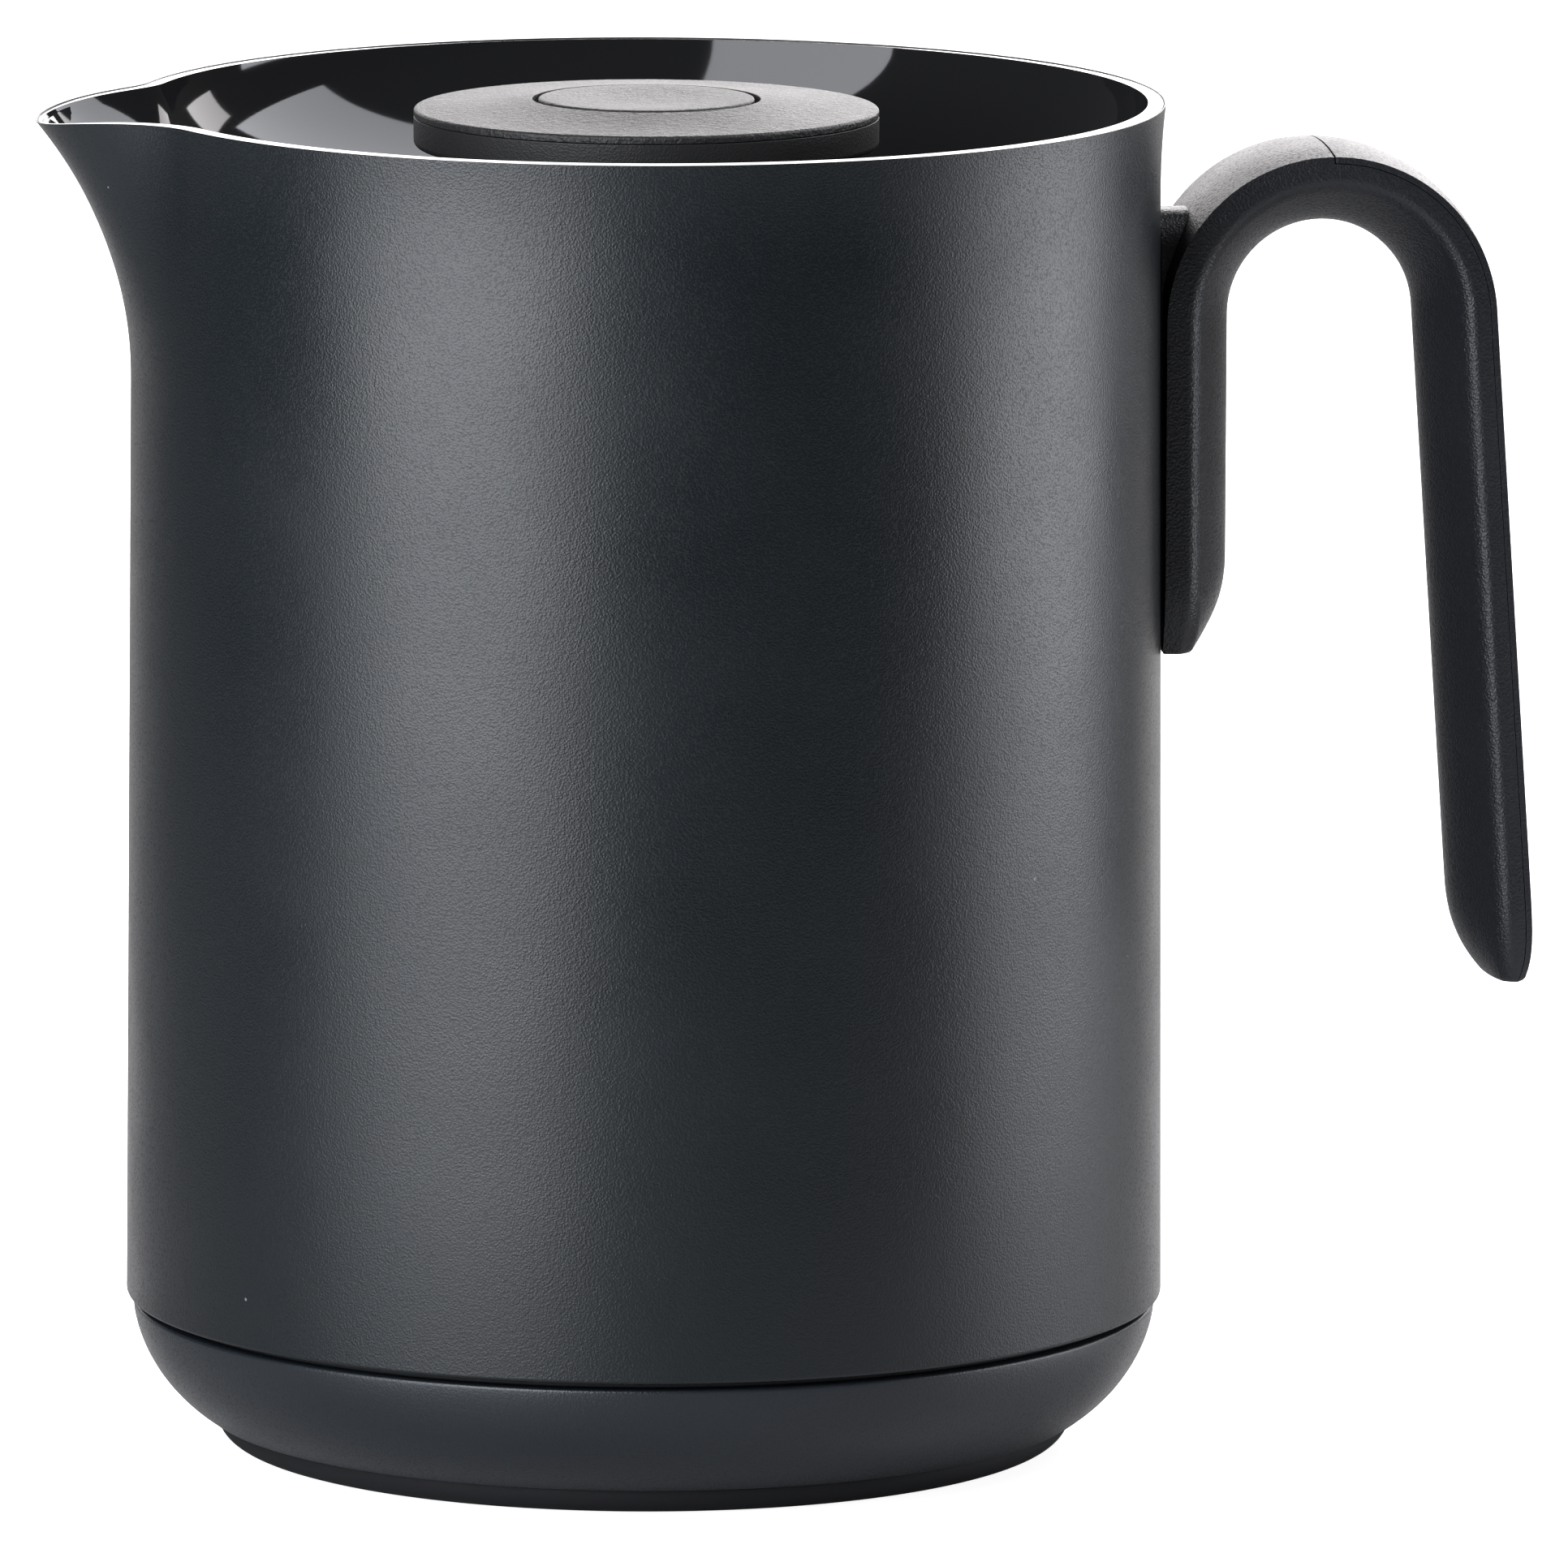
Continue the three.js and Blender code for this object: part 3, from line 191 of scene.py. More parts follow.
class JugFinish(bpy.types.PropertyGroup):
    """Colours and textures of the surfaces"""

    shell: colour("Shell", (0.002, 0.005, 0.0072), "Grained plastic of the shell")
    base: colour("Base", (0.0095, 0.0134, 0.0178), "Finely grained plastic of the base")
    gloss: colour("Collar", (0.0135, 0.0138, 0.015), "Polished plastic of the collar")
    handle: colour("Handle", (0.0108, 0.012, 0.0158), "Grained plastic of the handle")
    lid: colour("Lid", (0.026, 0.026, 0.0265), "Fine textured plastic of the lid")
    inner: colour("Stopper", (0.045, 0.047, 0.05), "Plain moulded plastic of the stopper")
    rubber: colour("Rubber", (0.0088, 0.0092, 0.011), "Rubber of the foot and the base seal")
    silicone: colour("Silicone", (0.42, 0.44, 0.44), "Sealing rings of the stopper")
    steel: colour("Steel", (0.6, 0.61, 0.62), "Flask, spring and screws")
    grain_cells: number("Grain Cells per Metre", 3400, "Fineness of the leather grain")
    handle_cells: number("Handle Cells per Metre", 2856, "Fineness of the handle's leather grain")
    speck_cells: number("Specks per Metre", 4200, "Fineness of the matt mould texture")
    lid_cells: number("Lid Specks per Metre", 2900, "Fineness of the mould texture on the lid's top")


class JugStage(bpy.types.PropertyGroup):
    """Studio floor, lights and camera"""

    floor: colour("Floor", (0.57, 0.57, 0.57), "Pale studio floor")
    key: number("Key Light", 4.5, "Brightness of the soft box at the front left")
    edge: number("Edge Light", 3.75, "Brightness of the soft boxes at the right")
    back: number("Back Light", 4.2, "Brightness of the white wall behind")
    fill: number("Fill", 0.06, "Brightness of the room all round")
    distance: length("Camera Distance", 2.4472, "From the camera to its aim")
    turn: angle("Camera Turn", -7.5, "Turn of the camera round the jug, from square on the side")
    elevation: angle("Camera Elevation", 9.153, "Height of the camera over the horizon")
    roll: angle("Camera Roll", 0.2, "Turn of the camera round its own line of sight")
    lens: number("Lens", 435.25, "Focal length in millimetres")


def settings(name):
    return getattr(bpy.context.scene, "jug_" + name)


# Meshes: rings of points joined row to row
def grid_faces(count, columns, closed, skip=()):
    faces = []
    for row in range(count if closed else count - 1):
        here, above = row * columns, (row + 1) % count * columns
        for column in range(columns):
            if (row, column) not in skip:
                nearby = (column + 1) % columns
                faces.append((here + column, here + nearby, above + nearby, above + column))
    if not closed:
        last = (count - 1) * columns
        faces.append(tuple(range(columns - 1, -1, -1)))
        faces.append(tuple(range(last, last + columns)))
    return faces


def ring_solid(rows, closed=False):
    """A solid from rows of points, closed on itself or capped at both ends."""
    return np.concatenate(rows), grid_faces(len(rows), len(rows[0]), closed)


def ring(around, radius, z):
    z = np.broadcast_to(z, around.shape)
    return np.stack([radius * np.cos(around), radius * np.sin(around), z], -1)


def turned(outline, steps=160):
    """A turned solid from an outline that runs counter-clockwise in (radius, height)."""
    around = 2 * np.pi * np.arange(steps) / steps
    rows = [ring(around, radius, z) for radius, z in outline if radius > 0]
    return ring_solid(rows, len(rows) == len(outline))


def section_row(turn, section):
    """The points of a section in (radius, height), at a turn about the axis."""
    return np.array([[r * math.cos(turn), r * math.sin(turn), z] for r, z in section])


def arc(centre, radius, start, end, steps):
    turns = np.radians(np.linspace(start, end, steps + 1))
    return [(centre[0] + radius * math.cos(t), centre[1] + radius * math.sin(t)) for t in turns]


def bezier(points, steps):
    a, b, c, d = (np.array(p) for p in points)
    t = np.linspace(0, 1, steps + 1)[:, None]
    line = a * (1 - t) ** 3 + 3 * b * t * (1 - t) ** 2 + 3 * c * t**2 * (1 - t) + d * t**3
    return [tuple(p) for p in line]


def bead(inner, outer, middle, half):
    """Outline of a sealing ring with a round nose."""
    nose = arc((outer - half, middle), half, -90, 90, 10)
    return [(inner, middle - half), *nose, (inner, middle + half)]


def piece(name, solid, look, body, node=None, bevel=0.25 * MM):
    """Adds a smooth, bevelled piece that rides on a body and stands for a node of the frame."""
    points, faces = solid
    mesh = bpy.data.meshes.new(name)
    mesh.from_pydata(np.asarray(points).tolist(), [], faces)
    mesh.shade_smooth()
    mesh.materials.append(finish(look))
    item = bpy.data.objects.new(name, mesh)
    bpy.context.scene.collection.objects.link(item)
    if bevel:
        edge = item.modifiers.new("Edges", "BEVEL")
        edge.width = bevel
        edge.segments = BEVEL_STEPS
        edge.limit_method = "ANGLE"
        edge.angle_limit = BEVEL_ANGLE
        edge.harden_normals = True
        edge.miter_outer = "MITER_ARC"
    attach(item, body)
    if node:
        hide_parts(node)
    return item


def dress(node, look):
    """Gives a node of the frame that stays as it is a finished material."""
    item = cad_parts[node]
    item.data.materials.clear()
    item.data.materials.append(finish(look))


# Shader nodes
def add(tree, kind, inputs=None, **options):
    node = tree.nodes.new(kind)
    for key, value in options.items():
        setattr(node, key, value)
    for key, value in (inputs or {}).items():
        if isinstance(value, bpy.types.NodeSocket):
            tree.links.new(value, node.inputs[key])
        else:
            node.inputs[key].default_value = value
    return node


def maths(tree, operation, first, second):
    return add(tree, "ShaderNodeMath", {0: first, 1: second}, operation=operation).outputs[0]


def vectors(tree, operation, first, second):
    return add(tree, "ShaderNodeVectorMath", {0: first, 1: second}, operation=operation).outputs[0]


def scaled(tree, vector, factor):
    inputs = {0: vector, "Scale": factor}
    return add(tree, "ShaderNodeVectorMath", inputs, operation="SCALE").outputs[0]


def noise(tree, point, scale, detail, roughness=0.5):
    inputs = {"Vector": point, "Scale": scale, "Detail": detail, "Roughness": roughness}
    return add(tree, "ShaderNodeTexNoise", inputs).outputs


def blend_range(tree, value, low, high, to_low=0.0, to_high=1.0):
    inputs = {"Value": value, "From Min": low, "From Max": high, "To Min": to_low, "To Max": to_high}
    return add(tree, "ShaderNodeMapRange", inputs).outputs["Result"]


def between(tree, mask, low, high):
    """A value that a mask from 0 to 1 moves from low to high."""
    return blend_range(tree, mask, 0.0, 1.0, low, high)


def object_point(tree):
    return tree.nodes.new("ShaderNodeTexCoord").outputs["Object"]


def leather_grain(tree, given):
    """Pebbled mould grain with creases between the pebbles."""
    even = scaled(tree, object_point(tree), given["Cells"])
    drift = noise(tree, even, 0.8, 1.0)["Color"]
    centred = vectors(tree, "SUBTRACT", drift, (0.5, 0.5, 0.5))
    place = vectors(tree, "ADD", even, scaled(tree, centred, given["Waviness"]))
    inputs = {"Vector": place, "Scale": 1.0, "Smoothness": 0.35}
    pebble = add(tree, "ShaderNodeTexVoronoi", inputs, feature="SMOOTH_F1").outputs["Distance"]
    dome = blend_range(tree, pebble, 0.05, 0.75, 1.0, 0.0)
    uneven = blend_range(tree, noise(tree, place, 0.35, 2.0)["Fac"], 0.3, 0.7, 0.75, 1.15)
    return maths(tree, "MULTIPLY", dome, uneven), blend_range(tree, pebble, 0.45, 0.8)


def mould_speck(tree, given):
    """Fine matt texture of an eroded mould."""
    point = object_point(tree)
    fine = noise(tree, point, given["Cells"], 2.0)["Fac"]
    coarse = noise(tree, point, maths(tree, "MULTIPLY", given["Cells"], 0.3), 1.0)["Fac"]
    mixed = maths(tree, "ADD", fine, coarse)
    return maths(tree, "MULTIPLY", mixed, 0.5), blend_range(tree, fine, 0.35, 0.7)


def handling_haze(tree, given):
    """Broad, soft unevenness from moulding and handling."""
    cloud = noise(tree, object_point(tree), given["Cells"], 4.0, 0.6)["Fac"]
    swing = maths(tree, "MULTIPLY", maths(tree, "SUBTRACT", cloud, 0.5), given["Amount"])
    return maths(tree, "ADD", swing, 1.0), swing


def dust_flecks(tree, given):
    """Sparse specks of dust."""
    inputs = {"Vector": object_point(tree), "Scale": given["Cells"]}
    cell = add(tree, "ShaderNodeTexVoronoi", inputs).outputs
    lot = add(tree, "ShaderNodeSeparateColor", {"Color": cell["Color"]}).outputs
    chosen = maths(tree, "LESS_THAN", lot["Red"], given["Amount"])
    spot = maths(tree, "LESS_THAN", cell["Distance"], between(tree, lot["Green"], 0.01, 0.035))
    return (maths(tree, "MULTIPLY", chosen, spot),)


# Each effect's wiring, inputs and outputs
EFFECTS = {
    "Leather Grain": (leather_grain, {"Cells": 1500, "Waviness": 0.5}, ("Height", "Crease")),
    "Mould Speck": (mould_speck, {"Cells": 4200}, ("Height", "Speck")),
    "Handling Haze": (handling_haze, {"Cells": 40, "Amount": 0.1}, ("Tone", "Shift")),
    "Dust Flecks": (dust_flecks, {"Cells": 220, "Amount": 0.25}, ("Mask",)),
}


def effect_group(name):
    """A shared node group, made the first time it is asked for."""
    if name in bpy.data.node_groups:
        return bpy.data.node_groups[name]
    wire, inputs, outputs = EFFECTS[name]
    tree = bpy.data.node_groups.new(name, "ShaderNodeTree")
    for label, default in inputs.items():
        socket = tree.interface.new_socket(label, in_out="INPUT", socket_type="NodeSocketFloat")
        socket.default_value = default
    for label in outputs:
        tree.interface.new_socket(label, in_out="OUTPUT", socket_type="NodeSocketFloat")
    start = tree.nodes.new("NodeGroupInput")
    end = tree.nodes.new("NodeGroupOutput")
    for label, value in zip(outputs, wire(tree, start.outputs)):
        tree.links.new(value, end.inputs[label])
    return tree


def place_effect(tree, name, **values):
    return add(tree, "ShaderNodeGroup", values, node_tree=effect_group(name)).outputs


def new_material(name, **constants):
    """A principled material; the constants are set on the shader's own sockets."""
    material = bpy.data.materials.new(name)
    material.use_nodes = True
    tree = material.node_tree
    shader = tree.nodes["Principled BSDF"]
    for key, value in constants.items():
        shader.inputs[key.replace("_", " ")].default_value = value
    return material, tree, shader.inputs


def dusted(tree, base, mask, dust=(0.2, 0.2, 0.2, 1)):
    mix = add(tree, "ShaderNodeMix", data_type="RGBA")
    tree.links.new(mask, mix.inputs["Factor"])
    tree.links.new(base, mix.inputs["A"])
    mix.inputs["B"].default_value = dust
    return mix.outputs["Result"]


def bumped(tree, height, depth):
    inputs = {"Height": height, "Distance": depth, "Strength": 1.0}
    return add(tree, "ShaderNodeBump", inputs).outputs["Normal"]


def grained_plastic(name, base, cells, depth, roughness, specular=0.5):
    """Matt plastic with a leather grain and painted shade in its creases: shell, base, handle and the lid's
    side.
    """
    material, tree, sockets = new_material(name, Specular_IOR_Level=specular)
    grain = place_effect(tree, "Leather Grain", Cells=cells, Waviness=0.9)
    speck = place_effect(tree, "Mould Speck", Cells=settings("finish").speck_cells)
    haze = place_effect(tree, "Handling Haze", Cells=30.0, Amount=0.25)
    dust = place_effect(tree, "Dust Flecks", Cells=140.0, Amount=0.2)
    # Painted shade: the colour runs from 1.05 on the pebbles down to 0.8 in the grain's creases, on top of
    # the random haze tone
    tone = maths(tree, "MULTIPLY", haze["Tone"], between(tree, grain["Crease"], 1.05, 0.8))
    tree.links.new(dusted(tree, scaled(tree, base, tone), dust["Mask"]), sockets["Base Color"])
    matt = between(tree, grain["Crease"], roughness - 0.04, roughness + 0.1)
    tree.links.new(maths(tree, "ADD", matt, haze["Shift"]), sockets["Roughness"])
    height = maths(tree, "ADD", grain["Height"], maths(tree, "MULTIPLY", speck["Height"], 0.35))
    tree.links.new(bumped(tree, height, depth), sockets["Normal"])
    return material


def satin_plastic(name, base, cells, depth, roughness, specular=0.5):
    """Plain matt plastic with a fine mould texture: lid top, button and stopper."""
    material, tree, sockets = new_material(name, Specular_IOR_Level=specular)
    speck = place_effect(tree, "Mould Speck", Cells=cells)
    haze = place_effect(tree, "Handling Haze", Cells=26.0, Amount=0.2)
    dust = place_effect(tree, "Dust Flecks", Cells=170.0, Amount=0.25)
    tone = maths(tree, "MULTIPLY", haze["Tone"], between(tree, speck["Speck"], 0.88, 1.12))
    tree.links.new(dusted(tree, scaled(tree, base, tone), dust["Mask"]), sockets["Base Color"])
    matt = between(tree, speck["Speck"], roughness + 0.05, roughness - 0.05)
    tree.links.new(maths(tree, "ADD", matt, haze["Shift"]), sockets["Roughness"])
    tree.links.new(bumped(tree, speck["Height"], depth), sockets["Normal"])
    return material


def polished_plastic(name, base):
    """Polished black plastic with faint wiping marks and dust: the pouring collar."""
    material, tree, sockets = new_material(name, Specular_IOR_Level=0.5)
    haze = place_effect(tree, "Handling Haze", Cells=60.0, Amount=0.06)
    dust = place_effect(tree, "Dust Flecks", Cells=200.0, Amount=0.12)
    faint = (0.09, 0.09, 0.09, 1)
    black = scaled(tree, base, haze["Tone"])
    tree.links.new(dusted(tree, black, dust["Mask"], faint), sockets["Base Color"])
    tree.links.new(blend_range(tree, haze["Shift"], -0.03, 0.03, 0.02, 0.09), sockets["Roughness"])
    ripple = place_effect(tree, "Mould Speck", Cells=90.0)
    tree.links.new(bumped(tree, ripple["Height"], 0.01 * MM), sockets["Normal"])
    return material


def soft_rubber(name, base, roughness):
    """Matt rubber or silicone."""
    material, tree, sockets = new_material(name, Specular_IOR_Level=0.35)
    speck = place_effect(tree, "Mould Speck", Cells=2500.0)
    haze = place_effect(tree, "Handling Haze", Cells=50.0, Amount=0.3)
    dust = place_effect(tree, "Dust Flecks", Cells=260.0, Amount=0.35)
    tone = maths(tree, "MULTIPLY", haze["Tone"], between(tree, speck["Speck"], 0.92, 1.08))
    tree.links.new(dusted(tree, scaled(tree, base, tone), dust["Mask"]), sockets["Base Color"])
    tree.links.new(maths(tree, "ADD", haze["Shift"], roughness), sockets["Roughness"])
    tree.links.new(bumped(tree, speck["Height"], 0.015 * MM), sockets["Normal"])
    return material


def brushed_steel(name, base):
    """Stainless steel, brushed round the axis."""
    material, tree, sockets = new_material(name, Metallic=1.0)
    place = vectors(tree, "MULTIPLY", object_point(tree), (0.03, 0.03, 1.0))
    lines = noise(tree, place, 9000.0, 2.0)["Fac"]
    haze = place_effect(tree, "Handling Haze", Cells=45.0, Amount=0.12)
    tone = maths(tree, "MULTIPLY", haze["Tone"], blend_range(tree, lines, 0.3, 0.7, 0.92, 1.05))
    tree.links.new(scaled(tree, base, tone), sockets["Base Color"])
    matt = blend_range(tree, lines, 0.3, 0.7, 0.2, 0.36)
    tree.links.new(maths(tree, "ADD", matt, haze["Shift"]), sockets["Roughness"])
    tree.links.new(bumped(tree, lines, 0.004 * MM), sockets["Normal"])
    return material


# Each finish's slot, how it is made and with what; words are the names of finish settings
FINISHES = {
    "Grained Anthracite": (
        "shell_plastic",
        grained_plastic,
        {"base": "shell", "cells": "grain_cells", "depth": 0.023 * MM, "roughness": 0.36, "specular": 0.6},
    ),
    "Base Grain": (
        "base_plastic",
        grained_plastic,
        {"base": "base", "cells": "grain_cells", "depth": 0.019 * MM, "roughness": 0.37, "specular": 0.6},
    ),
    "Handle Grain": (
        "handle_plastic",
        grained_plastic,
        {
            "base": "handle",
            "cells": "handle_cells",
            "depth": 0.05 * MM,
            "roughness": 0.41,
            "specular": 0.62,
        },
    ),
    "Lid Side Grain": (
        "lid_plastic",
        grained_plastic,
        {"base": "lid", "cells": "grain_cells", "depth": 0.03 * MM, "roughness": 0.48},
    ),
    "Lid Satin": (
        "lid_plastic",
        satin_plastic,
        {"base": "lid", "cells": "lid_cells", "depth": 0.34 * MM, "roughness": 0.47, "specular": 0.6},
    ),
    "Stopper Plastic": (
        "inner_plastic",
        satin_plastic,
        {"base": "inner", "cells": "speck_cells", "depth": 0.02 * MM, "roughness": 0.42},
    ),
    "Polished Black": ("gloss_plastic", polished_plastic, {"base": "gloss"}),
    "Black Rubber": ("rubber", soft_rubber, {"base": "rubber", "roughness": 0.72}),
    "Grey Silicone": ("silicone", soft_rubber, {"base": "silicone", "roughness": 0.5}),
    "Brushed Steel": ("steel", brushed_steel, {"base": "steel"}),
}


def finish(name):
    """A material of the jug, made the first time it is asked for."""
    if name in bpy.data.materials:
        return bpy.data.materials[name]
    _, make, values = FINISHES[name]
    chosen = settings("finish")
    found = {key: getattr(chosen, v) if isinstance(v, str) else v for key, v in values.items()}
    return make(name, **found)


# The body's wall: round with draft, plus the spout's beak. Angles run from the spout
def beak(around):
    sideways = np.minimum(1, np.abs(around) / settings("body").spout_angle)
    return (1 + np.cos(np.pi * sideways)) / 2


def round_wall(z):
    body = settings("body")
    depth = body.rim_height - z
    flare = body.flare * np.maximum(0, 1 - depth / body.flare_depth) ** 2
    return body.rim_radius + body.draft * depth / (body.rim_height - SHELL_BOTTOM) + flare


def wall_radius(around, z):
    body = settings("body")
    rise = np.clip(1 - (body.rim_height - z) / body.spout_height, 0, 1)
    return round_wall(z) + body.spout_reach * rise**2 * beak(around)


def rim_line(around):
    body = settings("body")
    return body.rim_height - body.spout_dip * beak(around) ** 2


def rim_width(around):
    body = settings("body")
    narrowing = beak(around) ** 1.3
    return body.rim_width + (body.spout_rim - body.rim_width) * narrowing


def wall_row(around, z, inset=0.0):
    """A row of points set in from the wall's outer face, along its normal in plan."""
    step = 1e-3
    z = np.broadcast_to(z, around.shape)
    radius = wall_radius(around, z)
    slope = (wall_radius(around + step, z) - wall_radius(around - step, z)) / (2 * step)
    part = inset / np.hypot(radius, slope)
    out, along = radius * (1 - part), slope * part
    x = -out * np.cos(around) + along * np.sin(around)
    y = -out * np.sin(around) - along * np.cos(around)
    return np.stack([x, y, z], -1)


def wall_rows(around, start, end, parts, inset=0.0):
    """Rows along the wall from one height to another, both included."""
    shares = np.linspace(0, 1, parts + 1)
    return [wall_row(around, start + (end - start) * part, inset) for part in shares]


def axis_row(around, radius, z):
    """A round row about the body's axis, with its angles from the spout."""
    return ring(around + np.pi, radius, z)


def body_angles():
    """Angles round the body, closer together across the spout."""
    half = settings("body").spout_angle
    spout_steps, rest_steps = 72, 184
    spout = np.linspace(-half, half, spout_steps, endpoint=False)
    rest = np.linspace(half, 2 * np.pi - half, rest_steps, endpoint=False)
    return np.concatenate([spout, rest])


class JUG_OT_shell(bpy.types.Operator):
    """Grained outer shell with the spout"""

    bl_idname = "jug.shell"
    bl_label = "Outer Shell"

    def execute(self, context):
        body = settings("body")
        around = body_angles()
        top = rim_line(around)
        seat = top - body.lip - body.lip_gap
        flare_start = body.rim_height - body.spout_height
        skirt_seat = body.rim_height - SKIRT_DEPTH
        edge = SHELL_BOTTOM + body.edge_round
        rows = [wall_row(around, SHELL_BOTTOM, body.wall)]
        for turn in np.radians(np.linspace(-90, 0, 7)):
            drop = body.edge_round * math.sin(turn)
            rows.append(wall_row(around, edge + drop, body.edge_round * (1 - math.cos(turn))))
        rows += wall_rows(around, edge, flare_start, 5)[1:]
        rows += wall_rows(around, flare_start, top, 28)[1:]
        rows.append(wall_row(around, top, body.rim_edge))
        rows.append(wall_row(around, seat, body.rim_edge))
        rows += wall_rows(around, seat, skirt_seat, 8, body.top_wall)
        rows += wall_rows(around, skirt_seat, flare_start, 8, body.wall)
        solid = ring_solid(rows, True)
        piece("shell_skin", solid, "Grained Anthracite", "jug", "outer_shell", 0.12 * MM)
        return {"FINISHED"}


def bowl_row(around, turn, wall=0.0):
    """The bowl's face at a turn from the rim (0) to the neck's land (90 degrees)."""
    body = settings("body")
    floor = body.rim_height - body.bowl_depth
    height = rim_line(around) - floor
    z = floor + height * (1 - math.sin(turn))
    edge = wall_row(around, z, rim_width(around))
    reach = np.hypot(edge[:, 0], edge[:, 1])
    span = reach - body.neck_land
    slant = np.hypot(height * math.cos(turn), span * math.sin(turn))
    radius = body.neck_land + span * math.cos(turn) + wall * height * math.cos(turn) / slant
    part = radius / reach
    low = z - wall * span * math.sin(turn) / slant
    return np.stack([edge[:, 0] * part, edge[:, 1] * part, low], -1)


class JUG_OT_collar(bpy.types.Operator):
    """Polished pouring collar: rim, bowl and neck"""

    bl_idname = "jug.collar"
    bl_label = "Pouring Collar"

    def execute(self, context):
        body = settings("body")
        around = body_angles()
        bowl_wall, skirt_wall, neck_wall = 1.6 * MM, 1.1 * MM, 1.8 * MM
        skirt_branch = math.radians(23)
        skirt_outer = body.top_wall + SEAT_GAP
        skirt_inner = skirt_outer + skirt_wall
        skirt_bottom = body.rim_height - SKIRT_DEPTH + SEAT_GAP
        rim = rim_line(around)
        lip_bottom = rim - body.lip
        lip_edge = body.rim_edge + body.lip_gap
        floor = body.rim_height - body.bowl_depth
        neck_outer = body.neck_bore + neck_wall
        under = [bowl_row(around, t, bowl_wall) for t in np.linspace(np.pi / 2, skirt_branch, 16)]
        rows = [
            axis_row(around, body.neck_bore, NECK_BOTTOM),
            axis_row(around, neck_outer, NECK_BOTTOM),
            axis_row(around, neck_outer, floor - bowl_wall),
            *under,
            wall_row(around, under[-1][:, 2], skirt_inner),
            wall_row(around, skirt_bottom, skirt_inner),
            *wall_rows(around, skirt_bottom, lip_bottom, 8, skirt_outer),
            wall_row(around, lip_bottom, lip_edge),
            wall_row(around, rim - body.rim_slope, lip_edge),
            *[bowl_row(around, t) for t in np.linspace(0, np.pi / 2, 33)],
            axis_row(around, body.neck_bore, floor),
        ]
        solid = ring_solid(rows, True)
        piece("collar_gloss", solid, "Polished Black", "jug", "pouring_collar", 0.16 * MM)
        return {"FINISHED"}


class JUG_OT_base(bpy.types.Operator):
    """Base cap, its seal in the groove and the rubber foot"""

    bl_idname = "jug.base"
    bl_label = "Base and Foot"

    def execute(self, context):
        body = settings("body")
        lower_wall = round_wall(SHELL_BOTTOM)
        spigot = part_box("base_seal")[1].x - 2 * MM
        outline = self.cap(body, lower_wall - body.base_inset, spigot)
        piece("base_bowl", turned(outline, 192), "Base Grain", "jug", "base_cap")
        seal_gap = 0.12 * MM
        half = (SHELL_BOTTOM - body.base_top) / 2 - seal_gap
        middle = (body.base_top + SHELL_BOTTOM) / 2
        outline = bead(spigot + SEAT_GAP, lower_wall - body.groove_depth, middle, half)
        piece("groove_seal", turned(outline, 192), "Black Rubber", "jug", "base_seal", 0.05 * MM)
        recess, hollow = FOOT_RADIUS - 12 * MM, 0.7 * MM
        outline = [
            (0, hollow),
            (recess - 1 * MM, hollow),
            (recess, 0),
            *arc((FOOT_RADIUS - FOOT_TOP, FOOT_TOP), FOOT_TOP, -90, -4, 12),
            (FOOT_RADIUS, FOOT_TOP),
            (0, FOOT_TOP),
        ]
        piece("foot_rubber", turned(outline, 192), "Black Rubber", "jug", "foot_pad", 0.15 * MM)
        return {"FINISHED"}

    def cap(self, body, top, spigot):
        """The cap's bowl, its shoulder in the groove and the spigot inside the shell."""
        shoulder, wall, floor_wall = 0.4 * MM, 2 * MM, 2.4 * MM
        underside = FOOT_TOP + 0.1 * MM
        foot, inner = FOOT_RADIUS + 1 * MM, FOOT_RADIUS - 8 * MM
        upper = body.base_top - shoulder
        spigot_top, spigot_foot = body.base_top + 13 * MM, body.base_top - 4 * MM
        turn_up = (
            foot + (top - foot) * body.base_fullness,
            underside + (upper - underside) * body.base_rise,
        )
        return [
            (inner, underside),
            *bezier([(foot, underside), turn_up, (top, upper - 2 * MM), (top, upper)], 40),
            *arc((top - shoulder, upper), shoulder, 0, 90, 5)[1:],
            (spigot, body.base_top),
            (spigot, spigot_top),
            (spigot - wall, spigot_top),
            (spigot - wall, spigot_foot),
            (inner, underside + floor_wall),
        ]


class JUG_OT_flask(bpy.types.Operator):
    """Steel flask and what holds it inside the body"""

    bl_idname = "jug.flask"
    bl_label = "Flask"

    def execute(self, context):
        low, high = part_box("flask_inner_wall")
        steel, wall = 0.6 * MM, high.x
        neck = settings("body").neck_bore + 3.3 * MM
        lip = neck + 1.7 * MM
        corner, taper, floor = 9 * MM, 19 * MM, 2 * MM
        shoulder = high.z - 9.6 * MM

        def side(inset):
            foot = arc((wall - corner, low.z + corner), corner - inset, -90, 0, 8)
            controls = [
                (wall - inset, shoulder - taper),
                (wall - inset, shoulder - taper / 2),
                (neck - inset, shoulder - taper / 2),
                (neck - inset, shoulder),
            ]
            return foot + bezier(controls, 24)

        outline = [
            (0, low.z),
            (floor, low.z),
            *side(0),
            (neck, high.z - steel),
            (lip, high.z - steel),
            (lip, high.z),
            (neck - steel, high.z),
            *reversed(side(steel)),
            (floor, low.z + steel),
            (0, low.z + steel),
        ]
        solid = turned(outline, 128)
        piece("flask_lining", solid, "Brushed Steel", "jug", "flask_inner_wall", 0.1 * MM)
        dress("flask_outer_wall", "Brushed Steel")
        dress("vacuum_plug", "Brushed Steel")
        dress("flask_cushion", "Black Rubber")
        dress("neck_seal", "Grey Silicone")
        return {"FINISHED"}


# The handle: stations along its outer edge line, from the leg's tip over the arch to the grip's tip
TAPER_POWER = 2.5
TIP_CROWN = 0.15 * MM


